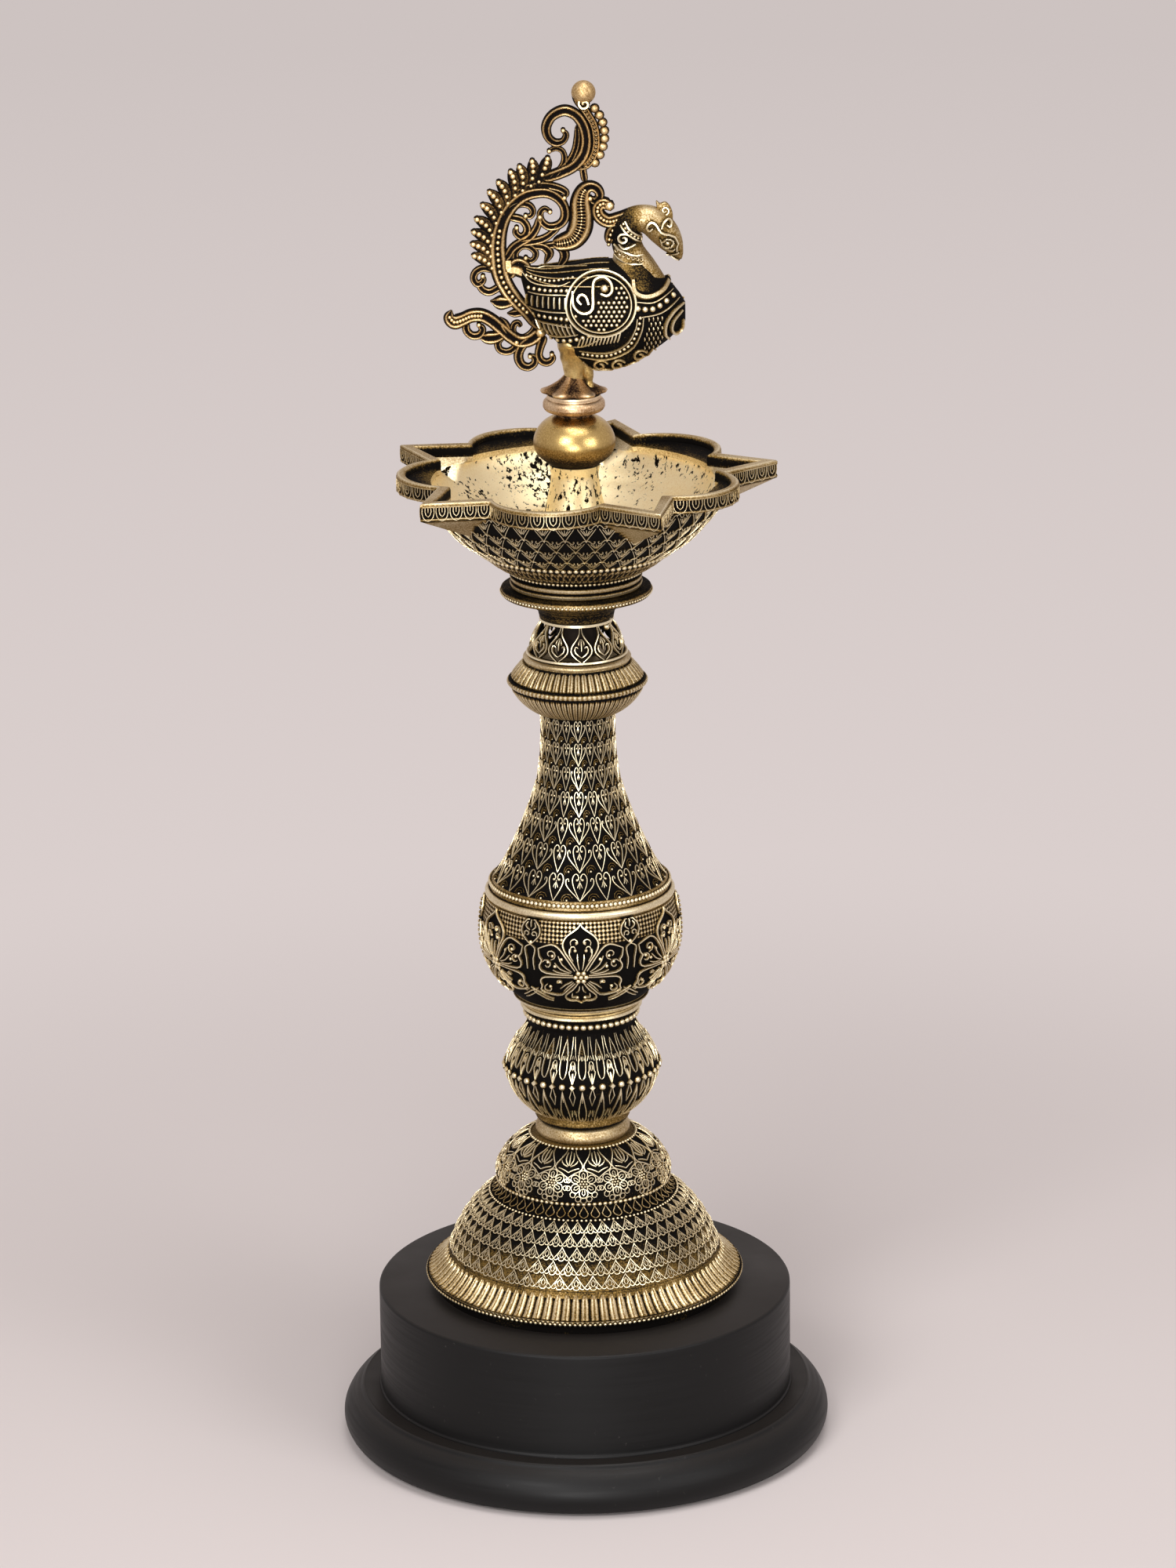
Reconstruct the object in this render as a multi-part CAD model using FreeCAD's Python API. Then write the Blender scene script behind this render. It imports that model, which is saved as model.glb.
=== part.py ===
import FreeCAD, Part
import math
import os

# Peacock oil lamp, 438 mm tall: a turned wooden base, a stack of hollow brass castings clamped on
# one tie rod, a five-spouted oil bowl that unscrews, and a peacock finial that unscrews from it.
# Millimetres. Z is up, the origin is the centre of the base on the surface that it stands on, and
# the peacock looks along +X.

os.makedirs("parts", exist_ok=True)

Vector = FreeCAD.Vector
UP = Vector(0, 0, 1)
ACROSS = Vector(0, 1, 0)
CENTRE = Vector(0, 0, 0)

# General fits
overrun = 6.0
running_clearance = 0.05
loose_clearance = 0.3
casting_wall = 2.4
casting_roof = 2.6

# Threaded rods: the tie rod and the bowl's stud are M8, the finial's stud is M6
rod_radius = 4.0
finial_stud_radius = 3.0
rod_nut_width = 13.0
rod_nut_height = 6.5
rod_washer_radius = 10.0
rod_washer_thickness = 1.6
rod_end_proud = 2.5

# Wooden base, turned in two pieces, with felt under it
felt_radius = 72.0
felt_thickness = 1.2
flange_radius = 77.9
flange_height = 14.6
flange_hole_radius = 14.0
drum_radius = 66.3
drum_height = 34.2
drum_edge_round = 1.2
screw_count = 3
screw_circle_radius = 45.0
screw_radius = 2.0
screw_head_radius = 4.2
screw_head_depth = 2.4
screw_length = 32.0
screw_point_length = 4.0
screw_point_radius = 0.3

# Base and stem castings, from the wood upwards
dome_radius = 49.9
dome_height = 35.0
gadroon_count = 110
gadroon_groove_radius = 0.9
gadroon_groove_depth = 0.6
scale_row_count = 5
scale_row_step = 0.5
tier_radius = 27.8
tier_height = 15.5
ring_radius = 15.0
ring_height = 5.0
knop_radius = 24.7
knop_height = 33.3
foot_radius = 21.5
foot_height = 9.8
foot_bore_radius = 13.0
bulb_radius = 31.3
bulb_height = 31.4
medallion_count = 6
medallion_petal_count = 6
medallion_relief = 0.8
medallion_hub_radius = 2.4
petal_length = 12.9
petal_width = 8.2
petal_band = 1.2
strap_width = 4.0
strap_thickness = 1.0
belt_radius = 30.4
belt_bore_radius = 24.0
belt_height = 6.0
neck_radius = 26.4
neck_height = 54.0
collar_radius = 21.9
collar_height = 18.5
basket_radius = 15.7
basket_height = 12.5
basket_wall = 1.8
basket_window_count = 12
basket_window_width = 4.6
basket_window_height = 6.4
coupler_radius = 6.2
coupler_flange_radius = 8.5
coupler_flange_height = 3.0

# Drip flange, bowl foot and oil bowl
drip_radius = 23.3
drip_height = 9.5
bowl_foot_radius = 31.0
bowl_foot_height = 13.5
bowl_stud_engaged = 11.5
stud_gap = 1.5
bowl_radius = 47.0
bowl_wall_height = 18.5
bowl_floor_thickness = 3.0
bowl_wall = 2.6
spout_count = 5
spout_direction = 6.0
spout_tip_radius = 63.0
spout_notch_radius = 47.0
spout_half_angle = 15.0
lobe_radius = 55.0
rim_height = 5.5
rim_wall = 2.8
rim_ledge = 1.8
keel_radius = 40.5
keel_drop = 9.5
keel_wall = 3.0

# Column in the bowl, ball, collar and the peacock's pedestal
column_foot_radius = 13.0
column_height = 22.5
ball_radius = 12.7
ball_half_height = 9.0
ball_flat_radius = 5.4
finial_ring_radius = 8.6
finial_ring_height = 6.6
finial_stud_engaged = 9.0
finial_stud_grip = 3.0
pedestal_radius = 10.4
pedestal_hollow_radius = 8.3
pedestal_top_radius = 2.8
pedestal_height = 6.0
pedestal_base_height = 0.9
petal_count = 6
leg_radius = 2.4
leg_top_radius = 4.6
leg_height = 11.0

# Peacock, cast as a body, a neck with its head, and a pierced tail in four branches
bird_length = 74.0
bird_height = 90.5
bird_back = 38.4
bird_rise = 0.1
tail_thickness = 3.4
leaf_width = 3.1
plume_thickness = 5.0
crest_thickness = 3.4
knob_radius = 3.7
knob_thickness = 7.0
crest_bead_radius = 1.55
comb_thickness = 2.2
nape_thickness = 4.0
neck_end_dome = 2.2

# Shares that set one feature within its piece
groove_ends_shares = (0.04, 0.93)
medallion_level_share = 0.39
low_petal_share = 0.87
window_sill_share = 0.333
window_shoulder_share = 0.333
inner_tip_walls_share = 2
inner_notch_walls_share = 1.3
inner_angle_share = 0.86
column_cup_share = 0.25
ball_seat_share = 0.79
petal_waist_level_share = 0.333
petal_waist_share = 0.63
leaf_belly_share = 0.35
leaf_root_share = 0.7
neck_seat_depth_share = 3.2
leg_flare_shares = ((0, 0), (0.3, 0.09), (0.7, 0.49), (1, 1))
oval_points = 16

# Levels, each piece standing on the one below
flange_base = felt_thickness
drum_base = flange_base + flange_height
dome_base = drum_base + drum_height
tier_base = dome_base + dome_height
ring_base = tier_base + tier_height
knop_base = ring_base + ring_height
foot_base = knop_base + knop_height
bulb_base = foot_base + foot_height
belt_base = bulb_base + bulb_height
neck_base = belt_base + belt_height
collar_base = neck_base + neck_height
basket_base = collar_base + collar_height
drip_base = basket_base + basket_height
bowl_foot_base = drip_base + drip_height
bowl_base = bowl_foot_base + bowl_foot_height
rim_base = bowl_base + bowl_wall_height
bowl_floor = bowl_base + bowl_floor_thickness
ball_centre = bowl_floor + column_height + ball_half_height * ball_seat_share
ball_flat = ball_centre + ball_half_height * math.sqrt(1 - (ball_flat_radius / ball_radius) ** 2)
finial_ring_base = ball_flat
pedestal_base = finial_ring_base + finial_ring_height
pedestal_top = pedestal_base + pedestal_base_height + pedestal_height
bird_base = pedestal_top + bird_rise
collar_floor = collar_base + casting_wall
bowl_stud_bottom = drip_base - bowl_stud_engaged
rod_top = bowl_stud_bottom - stud_gap

# Outlines: radius share, height share and the bend of the run to the next corner, as its rise
# over half its length, positive outwards
flange_shares = ((0.974, 0, 0.3), (0.99, 0.6, 0.12), (0.935, 0.92, -0.1), (0.92, 1))
dome_shares = ((0.955, 0), (0.97, 0.08), (1, 0.11, 0.3), (1, 0.155), (0.968, 0.18),
               (0.865, 0.345), (0.855, 0.365, 0.13), (0.635, 0.85), (0.54, 0.93), (0.525, 1))
tier_shares = ((0.985, 0, 0.2), (0.985, 0.34, 0.19), (0.6, 1))
ring_shares = ((0.867, 0, 0.8), (0.867, 1))
knop_shares = ((0.59, 0), (0.603, 0.045, 0.26), (1, 0.545, 0.13), (0.71, 0.92), (0.7, 1))
foot_shares = ((0.8, 0), (0.823, 0.12), (0.823, 0.4), (0.879, 0.43), (0.879, 0.55), (0.837, 0.59),
               (0.958, 0.86), (1, 0.9), (1, 1))
bulb_shares = ((0.69, 0, 0.235), (1, 0.64, 0.05), (0.958, 1))
belt_shares = ((0.945, 0, 0.8), (0.94, 0.5, 0.7), (0.92, 1))
neck_shares = ((1, 0, -0.1), (0.5, 0.59, -0.035), (0.443, 0.85), (0.443, 1))
collar_shares = ((0.55, 0, 0.2), (0.97, 0.49), (1, 0.51), (1, 0.57), (0.95, 0.62, 0.06),
                 (0.735, 0.99), (0.735, 1))
basket_shares = ((1, 0), (0.92, 0.35, 0.05), (0.72, 0.88), (0.72, 1))
drip_shares = ((0.49, 0), (0.51, 0.22, -0.15), (0.985, 0.76), (1, 0.8), (1, 0.97), (0.95, 1))
bowl_foot_shares = ((0.63, 0), (0.655, 0.04), (0.655, 0.13), (0.63, 0.16), (0.655, 0.19),
                    (0.655, 0.29), (0.63, 0.32), (0.675, 0.44, 0.1), (0.98, 0.95), (1, 1))
bowl_shares = ((0.67, 0, 0.12), (0.875, 0.46, 0.15), (1, 1))
column_shares = ((1, 0, -0.1), (0.7, 0.42, -0.05), (0.54, 1))
finial_ring_shares = ((0.58, 0), (0.58, 0.14), (0.86, 0.22, 0.85), (0.86, 1))

# Peacock seen from its right side: places as shares of its length and height
body_shares = (
    (0.300, 0.375, 0.345, 0.10), (0.335, 0.365, 0.240, 0.32), (0.380, 0.362, 0.175, 0.55),
    (0.440, 0.365, 0.115, 0.76), (0.520, 0.376, 0.055, 0.92), (0.620, 0.388, 0.012, 1.00),
    (0.720, 0.385, 0.025, 1.00), (0.820, 0.360, 0.060, 0.90), (0.900, 0.325, 0.102, 0.70),
    (0.955, 0.275, 0.145, 0.46), (0.985, 0.235, 0.175, 0.22))
body_half_width = 12.5
head_shares = (
    (0.835, 0.295, 1.24, 1.24), (0.800, 0.350, 1.15, 1.10), (0.757, 0.410, 1.04, 1.02),
    (0.740, 0.465, 1.00, 0.98), (0.755, 0.510, 0.93, 0.93), (0.800, 0.525, 0.93, 0.93),
    (0.850, 0.515, 1.02, 0.98), (0.895, 0.480, 1.02, 0.93), (0.930, 0.440, 0.80, 0.71),
    (0.955, 0.405, 0.40, 0.36), (0.965, 0.385, 0.11, 0.11))
neck_half_width = 4.5
comb_shares = ((0.872, 0.545), (0.866, 0.585), (0.882, 0.578), (0.905, 0.582), (0.925, 0.565),
               (0.935, 0.535), (0.925, 0.500), (0.890, 0.510))

# Strokes of the pierced work: places along the middle, each with its width share
nape_strokes_shares = (
    ((0.85, 0.552, 0.7), (0.78, 0.545, 0.9), (0.72, 0.527, 1), (0.67, 0.518, 1), (0.635, 0.535, 1),
     (0.625, 0.562, 0.9), (0.645, 0.580, 0.9), (0.675, 0.572, 0.9)),
    ((0.73, 0.515, 0.9), (0.690, 0.490, 0.9), (0.675, 0.465, 0.8), (0.67, 0.440, 0.4)))
nape_stroke_width = 3.6
fan_strokes_shares = (
    ((0.38, 0.155, 0.8), (0.33, 0.21, 0.9), (0.29, 0.245, 1), (0.25, 0.29, 1.1), (0.223, 0.34, 1.15),
     (0.215, 0.39, 1.15), (0.213, 0.44, 1.1), (0.222, 0.49, 1), (0.242, 0.535, 0.9),
     (0.275, 0.575, 0.85), (0.32, 0.605, 0.8), (0.37, 0.618, 0.75), (0.42, 0.618, 0.7),
     (0.465, 0.598, 0.65), (0.49, 0.565, 0.6), (0.49, 0.53, 0.6), (0.465, 0.507, 0.55),
     (0.425, 0.502, 0.5), (0.396, 0.52, 0.45), (0.39, 0.548, 0.4), (0.408, 0.563, 0.35),
     (0.43, 0.553, 0.3)),
    ((0.245, 0.54, 0.4), (0.28, 0.534, 0.5), (0.315, 0.525, 0.5), (0.335, 0.50, 0.5),
     (0.33, 0.478, 0.5), (0.308, 0.468, 0.45), (0.288, 0.482, 0.4), (0.292, 0.50, 0.35)),
    ((0.24, 0.54, 0.4), (0.27, 0.565, 0.45), (0.31, 0.58, 0.45), (0.345, 0.575, 0.45),
     (0.36, 0.555, 0.4), (0.35, 0.538, 0.35), (0.33, 0.54, 0.3)),
    ((0.225, 0.39, 0.4), (0.25, 0.40, 0.5), (0.275, 0.43, 0.55), (0.31, 0.45, 0.55),
     (0.35, 0.47, 0.55), (0.375, 0.50, 0.5), (0.388, 0.535, 0.45)),
    ((0.30, 0.446, 0.4), (0.35, 0.45, 0.5), (0.40, 0.46, 0.5), (0.435, 0.478, 0.45),
     (0.47, 0.505, 0.4)),
    ((0.29, 0.37, 0.6), (0.286, 0.41, 0.4), (0.312, 0.434, 0.4), (0.345, 0.432, 0.4),
     (0.368, 0.414, 0.4), (0.364, 0.394, 0.35), (0.345, 0.385, 0.35), (0.328, 0.396, 0.3)),
    ((0.255, 0.33, 0.7), (0.275, 0.36, 1), (0.30, 0.375, 1), (0.34, 0.355, 0.9)),
    ((0.36, 0.435, 0.4), (0.40, 0.432, 0.5), (0.425, 0.41, 0.6), (0.405, 0.375, 0.15)),
    ((0.40, 0.435, 0.4), (0.45, 0.438, 0.5), (0.482, 0.42, 0.6), (0.487, 0.395, 0.6),
     (0.465, 0.365, 0.3)),
    ((0.225, 0.35, 0.5), (0.19, 0.355, 0.4), (0.15, 0.361, 0.45), (0.12, 0.348, 0.45),
     (0.112, 0.325, 0.45), (0.128, 0.307, 0.45), (0.150, 0.318, 0.4), (0.150, 0.335, 0.3)),
    ((0.13, 0.31, 0.4), (0.15, 0.287, 0.5), (0.18, 0.280, 0.5), (0.22, 0.297, 0.5),
     (0.24, 0.30, 0.5)),
    ((0.27, 0.60, 0.5), (0.33, 0.632, 0.55), (0.39, 0.643, 0.55), (0.45, 0.638, 0.5),
     (0.495, 0.62, 0.45), (0.49, 0.60, 0.3)),
    ((0.178, 0.248, 0.05), (0.215, 0.243, 0.9), (0.245, 0.243, 0.8), (0.28, 0.25, 0.5)),
    ((0.247, 0.205, 0.05), (0.275, 0.205, 0.5), (0.31, 0.208, 0.5), (0.335, 0.20, 0.5)))
fan_stroke_width = 4.0
leaf_shares = (
    (0.102, 0.408, 0.20, 0.345), (0.098, 0.448, 0.195, 0.385), (0.103, 0.490, 0.195, 0.42),
    (0.117, 0.535, 0.20, 0.455), (0.143, 0.583, 0.215, 0.495), (0.173, 0.628, 0.235, 0.53),
    (0.212, 0.662, 0.26, 0.56), (0.265, 0.698, 0.285, 0.585), (0.303, 0.716, 0.315, 0.60),
    (0.357, 0.735, 0.345, 0.615), (0.425, 0.743, 0.37, 0.63))
lower_strokes_shares = (
    ((0.018, 0.218, 0.1), (0.010, 0.195, 0.8), (0.030, 0.178, 1), (0.065, 0.186, 0.9),
     (0.10, 0.198, 0.9), (0.14, 0.199, 0.9), (0.18, 0.183, 0.9), (0.22, 0.155, 0.9),
     (0.26, 0.126, 0.9), (0.30, 0.108, 0.9), (0.345, 0.115, 0.9), (0.385, 0.14, 0.9)),
    ((0.08, 0.178, 0.4), (0.078, 0.15, 0.5), (0.10, 0.130, 0.5), (0.13, 0.131, 0.5),
     (0.145, 0.150, 0.45), (0.130, 0.167, 0.35)),
    ((0.13, 0.126, 0.2), (0.165, 0.121, 0.8), (0.20, 0.123, 0.8), (0.24, 0.135, 0.4)),
    ((0.235, 0.13, 0.4), (0.208, 0.105, 0.45), (0.215, 0.08, 0.45), (0.245, 0.072, 0.45),
     (0.272, 0.082, 0.45), (0.285, 0.105, 0.4)),
    ((0.345, 0.115, 0.6), (0.315, 0.098, 0.6), (0.295, 0.072, 0.6), (0.293, 0.045, 0.6),
     (0.308, 0.024, 0.55), (0.335, 0.018, 0.5), (0.358, 0.031, 0.45), (0.358, 0.050, 0.4),
     (0.340, 0.056, 0.3)),
    ((0.40, 0.125, 0.6), (0.383, 0.09, 0.55), (0.376, 0.06, 0.5), (0.388, 0.039, 0.5),
     (0.412, 0.033, 0.5), (0.433, 0.045, 0.4), (0.430, 0.062, 0.3)),
    ((0.217, 0.192, 0.1), (0.235, 0.168, 0.6), (0.255, 0.135, 0.5)),
    ((0.295, 0.112, 0.4), (0.272, 0.14, 0.4), (0.275, 0.165, 0.4), (0.292, 0.172, 0.35),
     (0.305, 0.158, 0.3)),
    ((0.30, 0.115, 0.4), (0.34, 0.132, 0.4), (0.365, 0.16, 0.45), (0.36, 0.19, 0.5)))
lower_stroke_width = 4.0
crest_strokes_shares = (
    ((0.405, 0.667, 0.8), (0.47, 0.684, 0.9), (0.53, 0.708, 0.9),
     (0.568, 0.745, 0.9), (0.582, 0.79, 0.85), (0.573, 0.84, 0.85), (0.543, 0.88, 0.85),
     (0.495, 0.897, 0.85), (0.445, 0.88, 0.8), (0.420, 0.845, 0.75), (0.425, 0.81, 0.65),
     (0.452, 0.789, 0.6), (0.485, 0.792, 0.5), (0.500, 0.813, 0.45), (0.488, 0.83, 0.3)),
    ((0.47, 0.69, 0.4), (0.51, 0.722, 0.5), (0.535, 0.76, 0.5), (0.545, 0.80, 0.5),
     (0.545, 0.845, 0.3)),
    ((0.425, 0.655, 0.5), (0.475, 0.70, 0.45), (0.492, 0.73, 0.45), (0.485, 0.758, 0.4),
     (0.458, 0.769, 0.4), (0.430, 0.760, 0.35)),
    ((0.52, 0.70, 0.4), (0.58, 0.71, 0.6), (0.612, 0.745, 0.6), (0.624, 0.79, 0.6),
     (0.615, 0.845, 0.6), (0.585, 0.89, 0.6), (0.555, 0.93, 0.8), (0.555, 0.955, 1.2)),
    ((0.565, 0.712, 0.5), (0.57, 0.68, 0.5), (0.575, 0.655, 0.5)))
crest_stroke_width = 3.4
crest_bead_shares = ((0.618, 0.903), (0.637, 0.880), (0.650, 0.855), (0.657, 0.827), (0.657, 0.800),
                     (0.650, 0.773), (0.637, 0.745), (0.617, 0.718))
knob_shares = (0.573, 0.957)
plume_strokes_shares = (
    ((0.44, 0.445, 0.5), (0.48, 0.447, 0.8), (0.525, 0.46, 1), (0.553, 0.495, 1.1),
     (0.560, 0.54, 1.05), (0.557, 0.585, 0.95), (0.568, 0.622, 0.7), (0.597, 0.638, 0.5),
     (0.626, 0.628, 0.45), (0.635, 0.605, 0.4), (0.615, 0.588, 0.35), (0.595, 0.598, 0.3)),)
plume_stroke_width = 5.8
stroke_steps = 3


def placed(shares, radius, height, base):
    """Corners of an outline in millimetres, each with its bend."""
    return [(s[0] * radius, base + s[1] * height, s[2] if len(s) > 2 else 0) for s in shares]


def outwards(a, b):
    """Square to the run from a to b in the XZ plane, to its outer side and as long as it."""
    return Vector(b.z - a.z, 0, a.x - b.x)


def run(start, end, bend):
    """One edge in the XZ plane, straight or an arc that rises by bend times half its length."""
    a = Vector(start[0], 0, start[1])
    b = Vector(end[0], 0, end[1])
    if bend == 0:
        return Part.LineSegment(a, b).toShape()
    return Part.Arc(a, (a + b) / 2 + outwards(a, b) * (bend / 2), b).toShape()


def turned(corners):
    """Solid of revolution about Z of an outline that runs upwards and is closed on the axis."""
    ring = [(0, corners[0][1], 0)] + list(corners) + [(0, corners[-1][1], 0)]
    edges = [run(a, b, a[2]) for a, b in zip(ring, ring[1:])]
    edges.append(run(ring[-1], ring[0], 0))
    return Part.Face(Part.Wire(edges)).revolve(CENTRE, UP, 360)


def rod(radius, bottom, top):
    """Upright cylinder on the axis."""
    return Part.makeCylinder(radius, top - bottom, Vector(0, 0, bottom), UP)


def casting(shares, radius, height, base, floor, roof, solid=None):
    """Hollow casting on the tie rod: the cavity follows the outline, a wall's thickness inside.
    A solid with relief takes the place of the plain turned one."""
    solid = solid or turned(placed(shares, radius, height, base))
    cavity = turned(placed(shares, radius - casting_wall, height - floor - roof, base + floor))
    bore = rod(rod_radius + loose_clearance, base - overrun, base + height + overrun)
    return solid.cut(cavity).cut(bore)


def spread(shape, count, first=0):
    """Copies of a shape evenly round the axis."""
    copies = []
    for place in range(count):
        copy = shape.copy()
        copy.rotate(CENTRE, UP, first + place * 360 / count)
        copies.append(copy)
    return copies


def polar(radius, angle, height):
    """Point at a radius and an angle in degrees about the axis."""
    turn = math.radians(angle)
    return Vector(radius * math.cos(turn), radius * math.sin(turn), height)


def save(shape, name):
    """Write one piece, after a check that it is whole."""
    if not shape.isValid():
        print("invalid", name)
    print(name, len(shape.Solids), round(shape.Volume))
    shape.exportStep("parts/" + name + ".step")


def screw(grown):
    """Countersunk wood screw, point up, grown all round by a clearance for its hole."""
    head = flange_base
    shank = screw_radius + grown
    corners = [(screw_head_radius + grown, head, 0), (shank, head + screw_head_depth, 0),
               (shank, head + screw_length - screw_point_length, 0),
               (screw_point_radius + grown, head + screw_length, 0)]
    shape = turned(corners)
    shape.translate(Vector(screw_circle_radius, 0, 0))
    return shape


def felt_pad():
    return rod(felt_radius, 0, felt_thickness)


def screw_holes(shape):
    for hole in spread(screw(running_clearance), screw_count):
        shape = shape.cut(hole)
    return shape


def wood_flange():
    shape = turned(placed(flange_shares, flange_radius, flange_height, flange_base))
    hole = rod(flange_hole_radius, flange_base - overrun, drum_base + overrun)
    return screw_holes(shape.cut(hole))


def wood_drum():
    shape = rod(drum_radius, drum_base, dome_base)
    edges = [e for e in shape.Edges if e.Vertexes[0].Point.z > dome_base - drum_edge_round]
    top = [e for e in edges if abs(e.BoundBox.ZMax - e.BoundBox.ZMin) < drum_edge_round]
    shape = shape.makeFillet(drum_edge_round, top)
    bore = rod(rod_radius + loose_clearance, drum_base - overrun, dome_base + overrun)
    return screw_holes(shape.cut(bore))


def base_screws():
    return Part.makeCompound(spread(screw(0), screw_count))


def tie_rod():
    bottom = drum_base - rod_washer_thickness - rod_nut_height - rod_end_proud
    return rod(rod_radius, bottom, rod_top)


def rod_washer():
    shape = rod(rod_washer_radius, drum_base - rod_washer_thickness, drum_base)
    return shape.cut(rod(rod_radius + loose_clearance, drum_base - overrun, drum_base + overrun))


def rod_nut():
    top = drum_base - rod_washer_thickness
    across_corners = rod_nut_width / math.cos(math.radians(30))
    corners = [polar(across_corners / 2, 60 * k, top - rod_nut_height) for k in range(7)]
    shape = Part.Face(Part.makePolygon(corners)).extrude(Vector(0, 0, rod_nut_height))
    bore = rod(rod_radius + running_clearance, top - rod_nut_height - overrun, top + overrun)
    return shape.cut(bore)


def base_dome():
    """Domed casting: a skirt of gadroons parted by round grooves, and over it rows of scales, each
    row a step that stands out at its lower edge."""
    corners = placed(dome_shares, dome_radius, dome_height, dome_base)
    skirt_low, skirt_high, low, high = [Vector(c[0], 0, c[1]) for c in corners[4:8]]
    bend = corners[6][2]
    side = outwards(low, high)
    rows = []
    for row in range(scale_row_count):
        foot, head = [low + (high - low) * t + side * (2 * bend * t * (1 - t))
                      for t in (row / scale_row_count, (row + 1) / scale_row_count)]
        edge = foot + side * (scale_row_step / side.Length)
        rows += [(edge.x, edge.z, 0), (head.x, head.z, 0)]
    solid = turned(corners[:6] + rows + corners[8:])
    side = outwards(skirt_low, skirt_high)
    lift = side * ((gadroon_groove_radius - gadroon_groove_depth) / side.Length)
    start, end = [skirt_low + (skirt_high - skirt_low) * share + lift
                  for share in groove_ends_shares]
    groove = Part.makeCylinder(gadroon_groove_radius, (end - start).Length, start, end - start)
    solid = solid.cut(Part.makeCompound(spread(groove, gadroon_count)))
    return casting(dome_shares, dome_radius, dome_height, dome_base, 0, casting_roof, solid)


def petal(length, inset):
    """Prism of a drop that points at the axis, its round end the length away, moved in all round
    by an inset."""
    radius = petal_width / 2 - inset
    middle = length - petal_width / 2
    lean = math.asin(petal_width / 2 / middle)
    point = Vector(inset / math.sin(lean), 0, 0)
    touch = Vector(middle - radius * math.sin(lean), radius * math.cos(lean), 0)
    across = Vector(touch.x, -touch.y, 0)
    edges = [Part.LineSegment(point, across).toShape(),
             Part.Arc(across, Vector(middle + radius, 0, 0), touch).toShape(),
             Part.LineSegment(touch, point).toShape()]
    return Part.Face(Part.Wire(edges)).extrude(Vector(0, 0, bulb_radius))


def vase_bulb():
    """Bulb with flower medallions: a hub and six petals, each the raised outline of a drop."""
    solid = turned(placed(bulb_shares, bulb_radius, bulb_height, bulb_base))
    grown = turned(placed(bulb_shares, bulb_radius + medallion_relief, bulb_height, bulb_base))
    hub = Part.makeCylinder(medallion_hub_radius, bulb_radius)
    bands = []
    for place in range(medallion_petal_count):
        direction = (place + 0.5) * 360 / medallion_petal_count
        pointing_down = direction == 270
        length = petal_length * (low_petal_share if pointing_down else 1)
        band = petal(length, 0).cut(petal(length, petal_band))
        band.rotate(CENTRE, UP, direction)
        bands.append(band)
    flower = hub.multiFuse(bands)
    level = bulb_base + medallion_level_share * bulb_height
    facing = FreeCAD.Rotation(Vector(0, 1, 0), Vector(0, 0, 1), Vector(1, 0, 0), "XYZ")
    flower.Placement = FreeCAD.Placement(Vector(bulb_radius / 2, 0, level), facing)
    flowers = spread(flower.common(grown), medallion_count, 180 / medallion_count)
    solid = solid.multiFuse(flowers)
    return casting(bulb_shares, bulb_radius, bulb_height, bulb_base, casting_wall, 0, solid)


def vase_foot():
    """Ring with two beadings between the knop and the bulb."""
    shape = turned(placed(foot_shares, foot_radius, foot_height, foot_base))
    return shape.cut(rod(foot_bore_radius, foot_base - overrun, bulb_base + overrun))


def side_straps():
    """Two upright straps that cover the bulb's seams, lying on its outer face."""
    grown = turned(placed(bulb_shares, bulb_radius + strap_thickness, bulb_height, bulb_base))
    core = turned(placed(bulb_shares, bulb_radius, bulb_height, bulb_base))
    reach = bulb_radius + strap_thickness + overrun
    bar = Part.makeBox(reach, strap_width, bulb_height, Vector(0, -strap_width / 2, bulb_base))
    strap = grown.cut(core).common(bar)
    return Part.makeCompound(spread(strap, 2))


def vase_belt():
    shape = turned(placed(belt_shares, belt_radius, belt_height, belt_base))
    return shape.cut(rod(belt_bore_radius, belt_base - overrun, neck_base + overrun))


def stem_coupler():
    """Long flanged nut that joins the tie rod below to the bowl's stud above."""
    top = drip_base - loose_clearance
    shape = rod(coupler_flange_radius, collar_floor, collar_floor + coupler_flange_height)
    shape = shape.fuse(rod(coupler_radius, collar_floor, top))
    bore = rod(rod_radius + running_clearance, collar_floor - overrun, top + overrun)
    return shape.cut(bore)


def fluted_collar():
    """Cup with a floor that the coupler's flange bears on."""
    shape = turned(placed(collar_shares, collar_radius, collar_height, collar_base))
    inner = collar_radius - casting_wall
    cup = turned(placed(collar_shares, inner, collar_height, collar_floor))
    bore = rod(rod_radius + loose_clearance, collar_base - overrun, basket_base + overrun)
    flange = rod(coupler_flange_radius + loose_clearance, collar_floor, basket_base + overrun)
    return shape.cut(cup).cut(bore).cut(flange)


def basket():
    """Pierced cup round the coupler, with pointed windows."""
    shape = turned(placed(basket_shares, basket_radius, basket_height, basket_base))
    inner_height = basket_height - basket_wall
    shape = shape.cut(turned(placed(basket_shares, basket_radius - basket_wall, inner_height,
                                    basket_base)))
    bore = rod(coupler_radius + loose_clearance, basket_base - overrun, drip_base + overrun)
    sill = basket_base + (basket_height - basket_window_height) * window_sill_share
    shoulder = sill + basket_window_height * window_shoulder_share
    half = basket_window_width / 2
    corners = [Vector(0, 0, sill), Vector(0, half, shoulder),
               Vector(0, 0, sill + basket_window_height),
               Vector(0, -half, shoulder), Vector(0, 0, sill)]
    window = Part.Face(Part.makePolygon(corners)).extrude(Vector(basket_radius + overrun, 0, 0))
    for tool in spread(window, basket_window_count):
        shape = shape.cut(tool)
    return shape.cut(bore)


def drip_flange():
    shape = turned(placed(drip_shares, drip_radius, drip_height, drip_base))
    return shape.cut(rod(rod_radius + loose_clearance, drip_base - overrun,
                         bowl_foot_base + overrun))


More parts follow.
